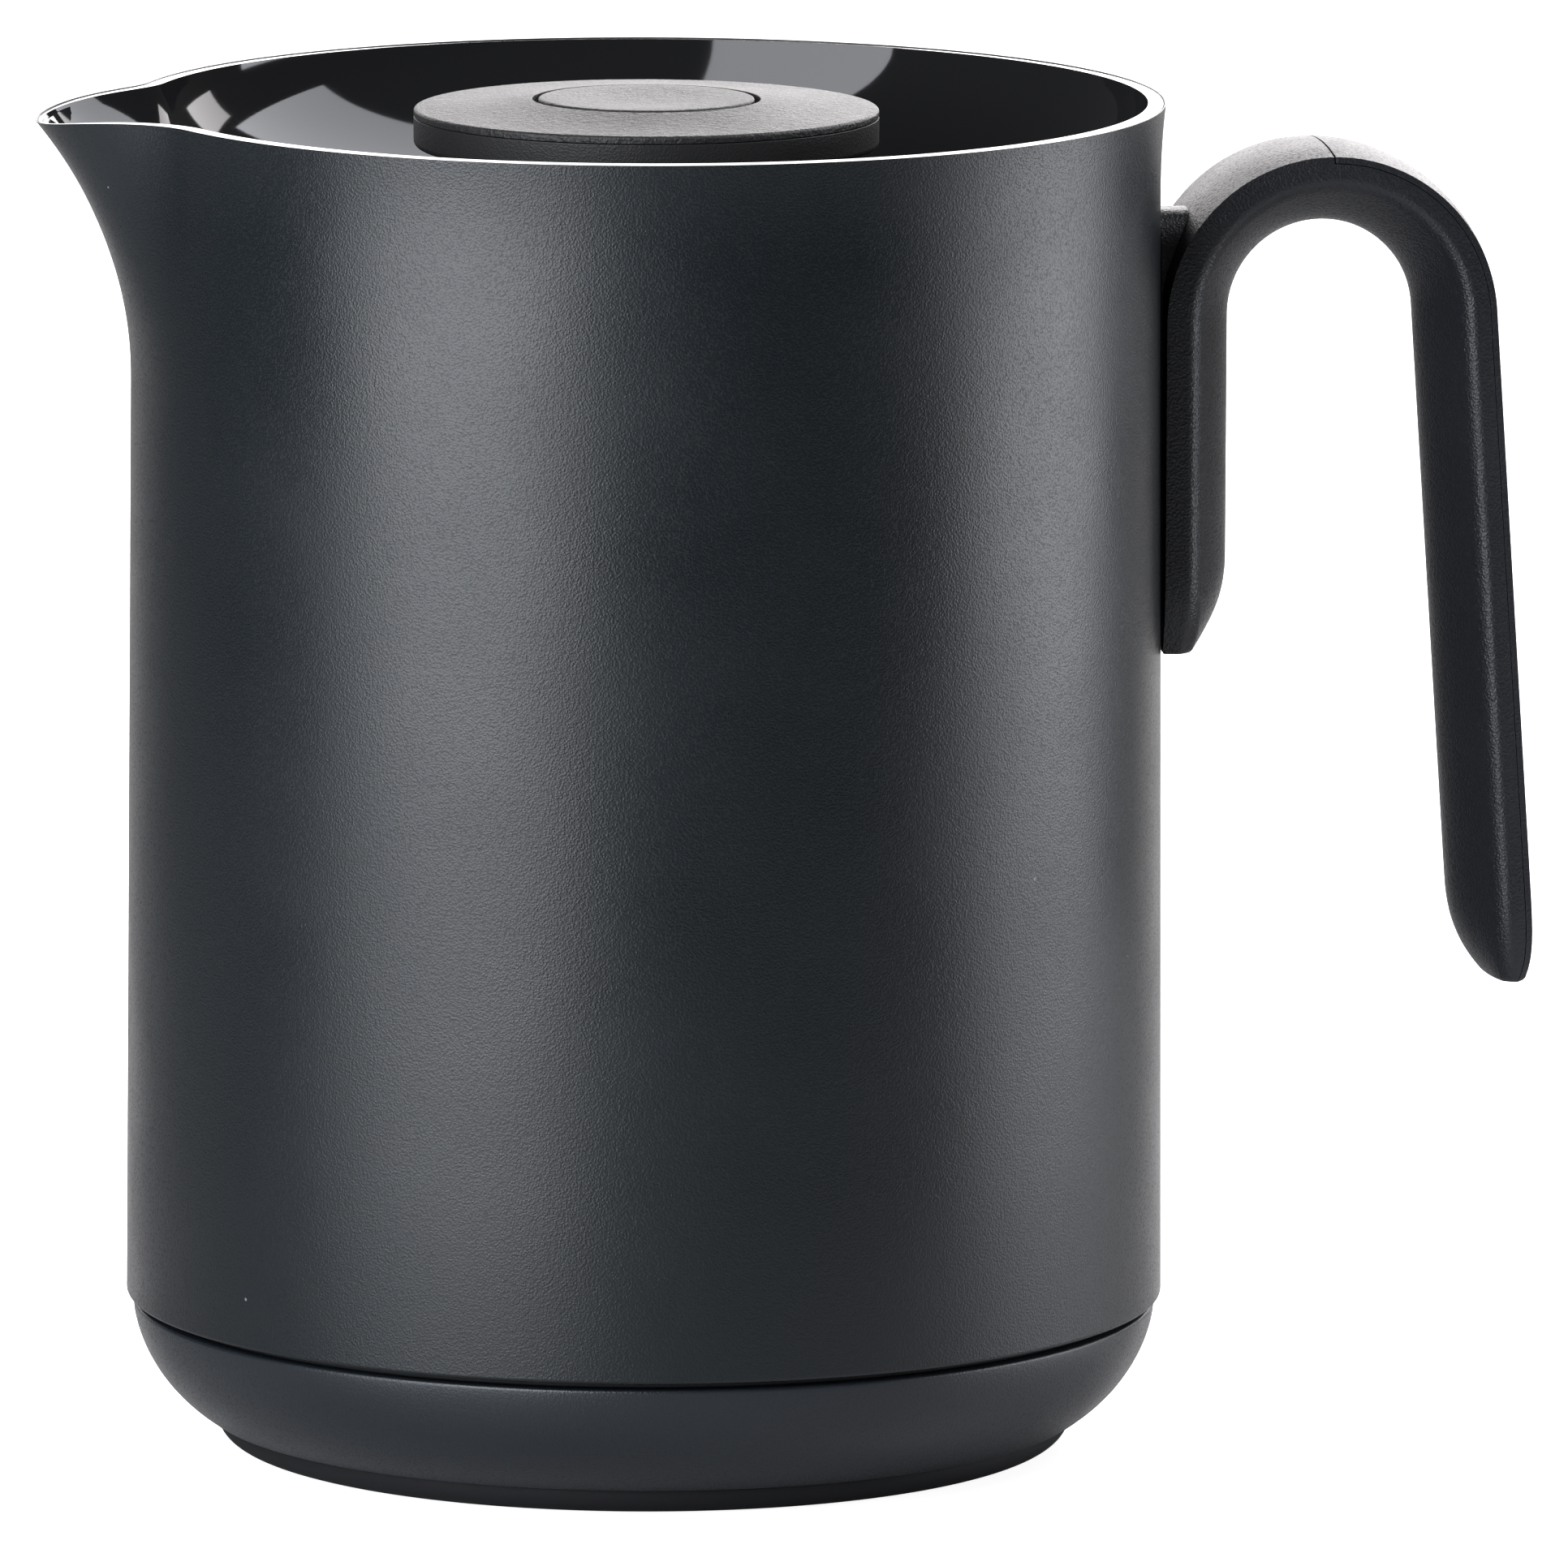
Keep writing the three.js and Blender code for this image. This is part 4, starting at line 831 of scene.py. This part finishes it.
def handle_spans():
    """Length of the arch, and how far along the apex and the grip's tip are."""
    handle = settings("handle")
    arch = handle.arch_radius * (np.pi - handle.tilt)
    apex = handle.leg_length + handle.arch_radius * np.pi / 2
    return arch, apex, handle.leg_length + arch + handle.grip_length


def handle_row(distance, section):
    handle = settings("handle")
    arch, _, _ = handle_spans()
    over = min(max(distance - handle.leg_length, 0), arch)
    turn = np.pi - over / handle.arch_radius
    out = np.array([math.cos(turn), 0, math.sin(turn)])
    along = np.array([math.sin(turn), 0, -math.cos(turn)])
    centre = np.array([handle.leg_face + handle.arch_radius, 0, handle.arch_height])
    point = centre + out * handle.arch_radius + along * (distance - handle.leg_length - over)
    side, height = np.array(section).T
    row = point + height[:, None] * out
    row[:, 1] = side
    return row


def on_grip(distance):
    return distance > handle_spans()[1]


def from_tip(distance):
    return min(distance, handle_spans()[2] - distance)


def tip_share(distance):
    handle = settings("handle")
    taper = handle.tip_length if on_grip(distance) else handle.leg_taper
    return max(0, 1 - from_tip(distance) / taper) ** TAPER_POWER


def end_inset(distance):
    """How far the section shrinks to round the end faces off."""
    handle = settings("handle")
    rounding = handle.tip_round if on_grip(distance) else handle.leg_round
    left = max(0, rounding - from_tip(distance))
    return rounding - math.sqrt(rounding**2 - left**2)


def handle_half(distance):
    handle = settings("handle")
    return handle.width / 2 - handle.tip_narrowing * tip_share(distance) - end_inset(distance)


def crown_line(half, base, crown):
    sides = np.linspace(1, -1, 13)
    return [(half * s, base + crown * (1 - s * s)) for s in sides]


def tip_drop(distance):
    curl = settings("handle").tip_curl if on_grip(distance) else 0
    return curl * tip_share(distance) ** 2


def outer_drop(distance):
    return tip_drop(distance) + end_inset(distance)


def outer_crown(distance):
    crown = settings("handle").crown
    return crown + (TIP_CROWN - crown) * tip_share(distance)


def soft_corner(before, corner, after, steps=6):
    t = np.linspace(0, 1, steps + 1)[:, None]
    return np.array(before) * (1 - t) ** 2 + 2 * np.array(corner) * t * (1 - t) + np.array(after) * t**2


def side_half(half, drop, ridge):
    """Half width of the side face at a depth under the outer edge."""
    return half + settings("handle").bulge * drop / ridge


def inner_face(half, ridge, depth, roundness):
    """Side faces out to a soft ridge, then the inner face: a flat arch, or a round one at the tips."""
    handle = settings("handle")
    edge = half + handle.bulge
    corner_start = 0.7

    def rise(across):
        return (across**2 + handle.crest_round**2) ** (handle.inner_power / 2)

    def below(across):
        flat = (rise(1) - rise(across)) / (rise(1) - rise(0))
        arch = (1 - roundness) * flat + roundness * np.sqrt(1 - across**2)
        return -ridge - (depth - ridge) * arch

    reach = 1 - handle.ridge_round / edge
    across = reach * np.sin(np.linspace(-np.pi / 2, np.pi / 2, 33))
    face = np.stack([edge * across, below(across)], -1)
    drop = max(corner_start * ridge, ridge - handle.ridge_round)
    side = (side_half(half, drop, ridge), -drop)
    corner = soft_corner(side, (edge, -ridge), face[-1])
    mirrored = corner * (-1, 1)
    return np.concatenate([mirrored[:-1], face, corner[::-1][1:]])


def frame_section(distance, covered):
    """Crowned or recessed outer face, short sides out to a ridge, arched inner face."""
    handle = settings("handle")
    taper, inset = tip_share(distance), end_inset(distance)
    thinning = 0 if on_grip(distance) else handle.leg_thinning
    half = handle_half(distance)
    depth = handle.depth + (handle.tip_depth - thinning - handle.depth) * taper - inset
    ridge = handle.ridge + (handle.tip_ridge - thinning - handle.ridge) * taper - inset / 2
    recess = tip_drop(distance) + handle.cover_edge + handle.cover_joint
    drop = recess if covered else outer_drop(distance)
    outer = crown_line(side_half(half, drop, ridge), -drop, 0 if covered else outer_crown(distance))
    return np.concatenate([outer, inner_face(half, ridge, depth, taper)])


def cover_section(distance):
    handle = settings("handle")
    half = handle_half(distance)
    top = -outer_drop(distance)
    under = tip_drop(distance) + handle.cover_edge
    foot = side_half(half, under, handle.ridge)
    return crown_line(half, top, outer_crown(distance)) + [(-foot, -under), (foot, -under)]


def grip_stations(start):
    handle = settings("handle")
    arch, _, end = handle_spans()
    straight, taper = handle.leg_length + arch, end - handle.tip_length
    return np.concatenate(
        [
            np.linspace(start, straight, 48),
            np.linspace(straight, taper, 5)[1:],
            taper + (handle.tip_length - handle.tip_round) * np.linspace(0, 1, 17)[1:],
            end - handle.tip_round * (1 - np.sin(np.linspace(0, np.pi / 2, 7)[1:])),
        ]
    )


def leg_stations():
    handle = settings("handle")
    _, apex, _ = handle_spans()
    return np.concatenate(
        [
            handle.leg_round * (1 - np.sin(np.linspace(np.pi / 2, 0, 7)[:-1])),
            handle.leg_round + (handle.leg_taper - handle.leg_round) * np.linspace(0, 1, 17),
            np.linspace(handle.leg_taper, handle.leg_length, 4)[1:],
            np.linspace(handle.leg_length, apex, 48)[1:],
        ]
    )


def off_the_wall(row, gap):
    """Moves points that would lie in the body's wall out to it."""
    clear = round_wall(row[:, 2]) + gap
    face = np.sqrt(np.maximum(0, clear**2 - row[:, 1] ** 2))
    row[:, 0] = np.maximum(row[:, 0], face)
    return row


class JUG_OT_handle(bpy.types.Operator):
    """Loop handle: frame, web on the body, grip cover and screws"""

    bl_idname = "jug.handle"
    bl_label = "Handle"

    def execute(self, context):
        _, apex, _ = handle_spans()
        recess_start, cover_start = apex + 0.1 * MM, apex + 0.25 * MM
        rows = [off_the_wall(handle_row(d, frame_section(d, False)), SEAT_GAP) for d in leg_stations()]
        rows += [handle_row(d, frame_section(d, True)) for d in grip_stations(recess_start)]
        piece("handle_loop", ring_solid(rows), "Handle Grain", "jug", "handle_frame", 0.3 * MM)
        rows = [handle_row(d, cover_section(d)) for d in grip_stations(cover_start)]
        piece("grip_cover", ring_solid(rows), "Handle Grain", "jug", "handle_grip_cover", 0.22 * MM)
        piece("handle_web", self.web(settings("handle")), "Handle Grain", "jug", bevel=0.3 * MM)
        dress("handle_screw_upper", "Brushed Steel")
        dress("handle_screw_lower", "Brushed Steel")
        return {"FINISHED"}

    def web(self, handle):
        """The block between the leg and the body's wall, with its ends sunk in the leg."""
        tip_sunk, leg_sunk, arch_sunk = 2.2 * MM, 3 * MM, 6 * MM
        taper, wall_gap = 4 * MM, 0.15 * MM
        low = handle.arch_height - handle.leg_length + 0.1 * MM
        high = handle.arch_height + handle.web_rise
        stations = [(low, tip_sunk, 0), (low + taper, leg_sunk, 0)]
        for turn in np.linspace(0, np.pi / 2, 9):
            inset = handle.web_round * (1 - math.cos(turn))
            stations.append((high - handle.web_round * (1 - math.sin(turn)), arch_sunk, inset))
        rows = []
        for z, sunk, inset in stations:
            half = handle.web_width / 2 - inset
            sides = np.linspace(half, -half, 13)
            face = np.sqrt((round_wall(z) + wall_gap) ** 2 - sides**2)
            inner = np.stack([face, sides, np.full_like(sides, z)], -1)
            ends = [(handle.leg_face + sunk, -half, z), (handle.leg_face + sunk, half, z)]
            rows.append(np.concatenate([inner, ends]))
        return ring_solid(rows)


class JUG_OT_lid(bpy.types.Operator):
    """Lid disc: top cover over the pan that holds the button's well"""

    bl_idname = "jug.lid"
    bl_label = "Lid"

    def execute(self, context):
        lid = settings("lid")
        wall = 1.5 * MM
        well = lid.button_radius + lid.button_gap
        under = lid.top - lid.crown - lid.side
        outline = self.cover(lid, well, under, wall)
        piece("lid_top", turned(outline), "Lid Satin", "stopper", "lid_cover", 0.12 * MM)
        outline = self.pan(lid, well, under, wall)
        piece("lid_side", turned(outline), "Lid Side Grain", "stopper", "lid_pan", 0.12 * MM)
        dress("stem_seal", "Grey Silicone")
        return {"FINISHED"}

    def cover(self, lid, well, under, wall):
        inner_edge = lid.top - 1.3 * MM
        edge = lid.top - lid.crown
        side = lid.radius - lid.edge_round
        crown = []
        for part in np.linspace(0, 1, 13):
            hollow = lid.hollow * 4 * part * (1 - part)
            crown.append((side + (well - side) * part, edge + lid.crown * part - hollow))
        return [
            (well, inner_edge),
            (lid.radius - wall, under),
            (lid.radius, under),
            *arc((side, edge - lid.edge_round), lid.edge_round, 0, 90, 8)[:-1],
            *crown,
        ]

    def pan(self, lid, well, under, wall):
        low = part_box("lid_pan")[0].z
        guide, rounding = 3.6 * MM, 0.9 * MM
        parting = under - 0.06 * MM
        pan_low = PAN_TOP - 3.4 * MM
        well_floor, well_top = low + 3 * MM, lid.top - 1.8 * MM
        outer = well + wall
        return [
            (guide, low),
            (outer, low),
            (outer, pan_low),
            *arc((lid.radius - rounding, pan_low + rounding), rounding, -90, 0, 8),
            (lid.radius, parting),
            (lid.radius - wall, parting),
            (lid.radius - wall, pan_low + wall),
            (outer, pan_low + wall),
            (outer, well_top),
            (well, well_top),
            (well, well_floor),
            (guide, well_floor),
        ]


class JUG_OT_button(bpy.types.Operator):
    """Push button with a dished face"""

    bl_idname = "jug.button"
    bl_label = "Button"

    def execute(self, context):
        lid = settings("lid")
        rounding, sunk = 0.35 * MM, 0.35 * MM
        wall, socket, boss_wall, boss_height = 1.6 * MM, 3.5 * MM, 1.7 * MM, 4.6 * MM
        top = lid.top + lid.button_rise
        flat = lid.button_radius - rounding
        under = lid.top - sunk - wall
        boss = under - boss_height
        dish = []
        for part in np.linspace(1, 0.02, 16):
            dish.append((flat * part, top - lid.button_dish * (1 - part**2) ** 2))
        outline = [
            (0, under),
            (socket, under),
            (socket, boss),
            (socket + boss_wall, boss),
            (socket + boss_wall, under),
            (lid.button_radius - wall, under),
            (lid.button_radius - wall, BUTTON_SKIRT),
            (lid.button_radius, BUTTON_SKIRT),
            *arc((flat, top - rounding), rounding, 0, 90, 6)[:-1],
            *dish,
            (0, top - lid.button_dish),
        ]
        piece("button_cap", turned(outline), "Lid Satin", "button", "push_button", 0.12 * MM)
        return {"FINISHED"}


class JUG_OT_stopper(bpy.types.Operator):
    """Stopper body with its pouring windows, thread and sealing ring"""

    bl_idname = "jug.stopper"
    bl_label = "Stopper"

    def execute(self, context):
        low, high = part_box("stopper_body")
        bore = settings("body").neck_bore
        plug = bore - 1 * MM
        cage = self.cage(low.z, high.z, plug)
        piece("stopper_cage", cage, "Stopper Plastic", "stopper", "stopper_body")
        for start in range(3):
            ridge = self.thread(start * 2 * np.pi / 3, plug, low.z + 7.4 * MM)
            piece(f"stopper_thread_{start + 1}", ridge, "Stopper Plastic", "stopper", bevel=0)
        seal_low, seal_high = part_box("stopper_seal")
        inner, outer = plug - 1.5 * MM, bore - SEAT_GAP
        height = seal_high.z - seal_low.z
        ribs = []
        for base in (seal_low.z, seal_low.z + height / 2):
            ribs += arc((outer - height / 4, base + height / 4), height / 4, -80, 80, 8)
        outline = [(inner, seal_low.z), *ribs, (inner, seal_high.z)]
        piece("stopper_ring", turned(outline), "Grey Silicone", "seal_ring", "stopper_seal", 0)
        return {"FINISHED"}

    def cage(self, low, high, plug):
        """Pedestal with windows, shoulder and plug, in one closed surface."""
        windows, window_steps, post_steps = 6, 14, 7
        pitch, span = 2 * np.pi / windows, math.radians(40)
        mouth, pedestal, shoulder = 15 * MM, 22.4 * MM, 28 * MM
        wall, floor, margin = 2.4 * MM, low + 2 * MM, 1.6 * MM
        shoulder_low = settings("body").rim_height - settings("body").bowl_depth + SEAT_GAP
        shoulder_high = shoulder_low + 2 * MM
        groove, groove_low, groove_high = plug - 1.8 * MM, low + 2.7 * MM, low + 5.7 * MM
        sill, head = shoulder_high + margin, high - margin
        outline = [
            (mouth, low),
            (plug, low),
            (plug, groove_low),
            (groove, groove_low),
            (groove, groove_high),
            (plug, groove_high),
            (plug, shoulder_low),
            (shoulder, shoulder_low),
            (shoulder, shoulder_high),
            (pedestal, shoulder_high),
            (pedestal, sill),
            (pedestal, head),
            (pedestal, high),
            (pedestal - wall, high),
            (pedestal - wall, head),
            (pedestal - wall, sill),
            (pedestal - wall, floor),
            (mouth, floor),
        ]
        outer_sill, outer_head, inner_head, inner_sill = 10, 11, 14, 15
        sill_rows = (outer_sill, outer_sill, inner_sill, inner_sill)
        head_rows = (inner_head, inner_head, outer_head, outer_head)
        first_rows = (outer_sill, inner_sill, inner_head, outer_head)
        last_rows = (inner_sill, outer_sill, outer_head, inner_head)
        one = np.concatenate(
            [
                np.linspace(-span / 2, span / 2, window_steps, endpoint=False),
                np.linspace(span / 2, pitch - span / 2, post_steps, endpoint=False),
            ]
        )
        around = np.concatenate([one + pitch * i for i in range(windows)])
        columns = len(around)

        def reveal(rows, places):
            return tuple(row * columns + place % columns for row, place in zip(rows, places))

        skip, reveals = set(), []
        for first in range(0, columns, len(one)):
            last = first + window_steps
            for column in range(first, last):
                skip |= {(outer_sill, column), (inner_head, column)}
                across = (column, column + 1, column + 1, column)
                reveals += [reveal(sill_rows, across), reveal(head_rows, across)]
            reveals += [reveal(first_rows, [first] * 4), reveal(last_rows, [last] * 4)]
        points = np.concatenate([ring(around, radius, z) for radius, z in outline])
        return points, grid_faces(len(outline), columns, True, skip) + reveals

    def thread(self, start, plug, low):
        """One start of the quick thread, tapered into the plug at both ends."""
        lead, reach, depth = 16 * MM, math.radians(105), 0.65 * MM
        half, crest_half, sunk, root = 1.1 * MM, 0.45 * 1.1 * MM, 0.1 * MM, plug - 0.3 * MM
        rows = []
        for part in np.linspace(0, 1, 49):
            fade = min(1, 8 * part, 8 * (1 - part))
            fade = fade * fade * (3 - 2 * fade)
            z = low + lead * reach * part / (2 * np.pi)
            crest = plug - sunk + (depth + sunk) * fade
            section = [(root, z - half), (crest, z - crest_half), (crest, z + crest_half), (root, z + half)]
            rows.append(section_row(start + reach * part, section))
        return ring_solid(rows[::-1])


class JUG_OT_valve(bpy.types.Operator):
    """Valve stem, plate, seal, clip and spring under the button"""

    bl_idname = "jug.valve"
    bl_label = "Valve"

    def execute(self, context):
        stem = 3.2 * MM
        plate_low, plate_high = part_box("valve_plate")
        clip_low, clip_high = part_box("stem_clip")
        outline = self.rod(stem, clip_low.z - SEAT_GAP, clip_high.z + SEAT_GAP, plate_high.z + SEAT_GAP)
        piece("valve_rod", turned(outline, 64), "Stopper Plastic", "button", "valve_stem", 0.2 * MM)
        outline = self.plate(stem, plate_low.z, plate_high.z, plate_high.x)
        piece("valve_disc", turned(outline), "Stopper Plastic", "button", "valve_plate", 0.2 * MM)
        seal_low, seal_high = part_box("valve_seal")
        half = (seal_high.z - seal_low.z) / 2
        outline = bead(seal_high.x - 2.4 * MM, seal_high.x, seal_low.z + half, half)
        piece("valve_ring", turned(outline), "Grey Silicone", "button", "valve_seal", 0.1 * MM)
        clip = self.clip(stem, clip_low.z, clip_high.z)
        piece("rod_clip", clip, "Brushed Steel", "button", "stem_clip", 0.15 * MM)
        self.spring()
        dress("click_ring", "Stopper Plastic")
        return {"FINISHED"}

    def rod(self, stem, clip_low, clip_high, flange_low):
        """Stem with a waist for the clip and a flange over the plate."""
        low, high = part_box("valve_stem")
        waist, flange, flange_high = stem - 0.8 * MM, stem + 2.2 * MM, flange_low + 1.5 * MM
        return [
            (0, low.z),
            (stem, low.z),
            (stem, clip_low),
            (waist, clip_low),
            (waist, clip_high),
            (stem, clip_high),
            (stem, flange_low),
            (flange, flange_low),
            (flange, flange_high),
            (stem, flange_high),
            (stem, high.z),
            (0, high.z),
        ]

    def plate(self, stem, low, high, outer):
        """Disc with a thicker hub and a rounded lower edge."""
        return [
            (stem + SEAT_GAP, low),
            (stem + 3.5 * MM, low),
            (stem + 4.3 * MM, low + 0.6 * MM),
            (outer - 0.3 * MM, low + 0.7 * MM),
            (outer, low + 1.1 * MM),
            (outer, high),
            (stem + SEAT_GAP, high),
        ]

    def clip(self, stem, low, high):
        """Open ring that snaps into the stem's waist."""
        inner = stem - 0.5 * MM
        outer = inner + 2.6 * MM
        mouth = math.radians(35)
        section = [(outer, low), (outer, high), (inner, high), (inner, low)]
        rows = [section_row(turn, section) for turn in np.linspace(mouth, 2 * np.pi - mouth, 41)]
        return ring_solid(rows[::-1])

    def spring(self):
        """Round wire wound in five turns."""
        low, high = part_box("valve_spring")
        wire, turns, travel = 0.6 * MM, 5, 5 * MM
        turn_steps, wire_steps = 40, 12
        coil = high.x - wire
        bottom, top = low.z + wire, high.z - wire
        around = 2 * np.pi * np.arange(wire_steps) / wire_steps
        rows = []
        for part in np.linspace(0, 1, turns * turn_steps + 1):
            turn = 2 * np.pi * turns * part
            out = np.array([math.cos(turn), math.sin(turn), 0])
            point = out * coil + np.array([0, 0, bottom + (top - bottom) * part])
            section = np.outer(np.cos(around), out) + np.outer(np.sin(around), (0, 0, 1))
            rows.append(point + wire * section)
        solid = ring_solid(rows[::-1])
        item = piece("button_spring", solid, "Brushed Steel", "stopper", "valve_spring", 0)
        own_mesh(item)


# Stage
COOL, WARM = (0.93, 0.947, 1), (1, 0.97, 0.975)
# Name, azimuth, distance, lower edge, size, brightness setting, share of it and tint of each soft box
LIGHTS = (
    ("key_light", -39, 0.55, 0.01, (0.47, 0.75), "key", 1, COOL),
    ("edge_light", 95, 0.55, 0.01, (0.38, 0.21), "edge", 1, COOL),
    ("high_light", 112, 0.55, 0.43, (0.42, 0.8), "edge", 1, COOL),
    ("back_light", 168, 2.2, 0.25, (1.43, 1), "back", 1, WARM),
    ("wall_light", 198, 2.2, 0.25, (0.94, 1), "back", 0.6, WARM),
    ("side_light", 133, 2.2, 0.47, (0.55, 0.5), "back", 0.75, WARM),
)
FLOOR_HALF = 15.0
CAMERA_AIM = Vector((17.80, -2.34, 86.52)) * MM


def around_jug(azimuth, distance, height):
    """A place round the jug; azimuth 0 is the camera's side, positive to its right."""
    turn = math.radians(azimuth) + settings("stage").turn
    return Vector((math.sin(turn) * distance, -math.cos(turn) * distance, height))


def soft_box(name, azimuth, distance, low, size, radiance, tint):
    """An upright soft box that faces the jug's axis, with its lower edge at the given height."""
    lamp = bpy.data.lights.new(name, "AREA")
    lamp.shape = "RECTANGLE"
    lamp.size, lamp.size_y = size
    lamp.energy = 4 * radiance * size[0] * size[1]
    lamp.color = tint
    item = bpy.data.objects.new(name, lamp)
    bpy.context.scene.collection.objects.link(item)
    item.location = around_jug(azimuth, distance, low + size[1] / 2)
    inward = -around_jug(azimuth, 1, 0)
    item.rotation_mode = "QUATERNION"
    item.rotation_quaternion = inward.to_track_quat("-Z", "Y")
    item.visible_camera = False


def camera_ray(tree):
    return tree.nodes.new("ShaderNodeLightPath").outputs["Is Camera Ray"]


def floor_material():
    """Pale matt floor that reads as white paper to the camera."""
    material, tree, sockets = new_material("Studio Floor", Roughness=0.3, Specular_IOR_Level=0.5)
    sockets["Emission Color"].default_value = (1, 1, 1, 1)
    grain = noise(tree, object_point(tree), 3.0, 3.0)["Fac"]
    tone = blend_range(tree, grain, 0.3, 0.7, 0.985, 1.0)
    tree.links.new(scaled(tree, settings("stage").floor, tone), sockets["Base Color"])
    tree.links.new(maths(tree, "MULTIPLY", camera_ray(tree), 0.9), sockets["Emission Strength"])
    return material


class JUG_OT_stage(bpy.types.Operator):
    """Pale floor, soft lights and the camera"""

    bl_idname = "jug.stage"
    bl_label = "Stage"

    def execute(self, context):
        scene = context.scene
        stage = settings("stage")
        scene.view_settings.view_transform = "Standard"
        mesh = bpy.data.meshes.new("studio_floor")
        corners = [(FLOOR_HALF * x, FLOOR_HALF * y, 0) for x, y in ((-1, -1), (1, -1), (1, 1), (-1, 1))]
        mesh.from_pydata(corners, [], [(0, 1, 2, 3)])
        mesh.materials.append(floor_material())
        floor = bpy.data.objects.new("studio_floor", mesh)
        scene.collection.objects.link(floor)
        self.world(scene, stage)
        for name, azimuth, distance, low, size, brightness, part, tint in LIGHTS:
            soft_box(name, azimuth, distance, low, size, part * getattr(stage, brightness), tint)
        self.camera(scene, stage)
        return {"FINISHED"}

    def world(self, scene, stage):
        """A dim room that the camera sees as white."""
        world = scene.world or bpy.data.worlds.new("Studio")
        scene.world = world
        world.use_nodes = True
        tree = world.node_tree
        tree.nodes.clear()
        white = (1, 1, 1, 1)
        room = add(tree, "ShaderNodeBackground", {"Color": white, "Strength": stage.fill})
        seen = add(tree, "ShaderNodeBackground", {"Color": white, "Strength": 1.0})
        inputs = {"Fac": camera_ray(tree), 1: room.outputs[0], 2: seen.outputs[0]}
        mix = add(tree, "ShaderNodeMixShader", inputs)
        add(tree, "ShaderNodeOutputWorld", {"Surface": mix.outputs[0]})

    def camera(self, scene, stage):
        lens = bpy.data.cameras.new("photo_camera")
        lens.lens = stage.lens
        lens.sensor_width = 36
        lens.clip_start, lens.clip_end = 0.05, 100
        item = bpy.data.objects.new("photo_camera", lens)
        scene.collection.objects.link(item)
        turn, rise = stage.turn, stage.elevation
        back = Vector((math.sin(turn) * math.cos(rise), -math.cos(turn) * math.cos(rise), math.sin(rise)))
        item.location = CAMERA_AIM + back * stage.distance
        item.rotation_mode = "QUATERNION"
        roll = Quaternion((0, 0, 1), stage.roll)
        item.rotation_quaternion = (-back).to_track_quat("-Z", "Y") @ roll
        scene.camera = item


class JUG_PT_sidebar(bpy.types.Panel):
    """Lists the jug's pieces and their sizes"""

    bl_idname = "JUG_PT_sidebar"
    bl_label = "Insulated Jug"
    bl_space_type = "VIEW_3D"
    bl_region_type = "UI"
    bl_category = "Jug"

    def draw(self, context):
        layout = self.layout
        for operator in OPERATORS:
            layout.operator(operator.bl_idname)
        for name in GROUPS:
            group = getattr(context.scene, "jug_" + name)
            box = layout.box()
            box.label(text=name.title())
            for key in group.__annotations__:
                box.prop(group, key)


GROUPS = {
    "body": JugBody,
    "handle": JugHandle,
    "lid": JugLid,
    "finish": JugFinish,
    "stage": JugStage,
}
OPERATORS = (
    JUG_OT_shell,
    JUG_OT_collar,
    JUG_OT_base,
    JUG_OT_flask,
    JUG_OT_handle,
    JUG_OT_lid,
    JUG_OT_button,
    JUG_OT_stopper,
    JUG_OT_valve,
    JUG_OT_stage,
)
CLASSES = (*GROUPS.values(), *OPERATORS, JUG_PT_sidebar)


def register():
    for item in CLASSES:
        bpy.utils.register_class(item)
    for name, group in GROUPS.items():
        setattr(bpy.types.Scene, "jug_" + name, bpy.props.PointerProperty(type=group))


def unregister():
    for name in GROUPS:
        delattr(bpy.types.Scene, "jug_" + name)
    for item in reversed(CLASSES):
        bpy.utils.unregister_class(item)


def main():
    register()
    for operator in OPERATORS:
        group, name = operator.bl_idname.split(".")
        getattr(getattr(bpy.ops, group), name)()


if __name__ == "__main__":
    main()
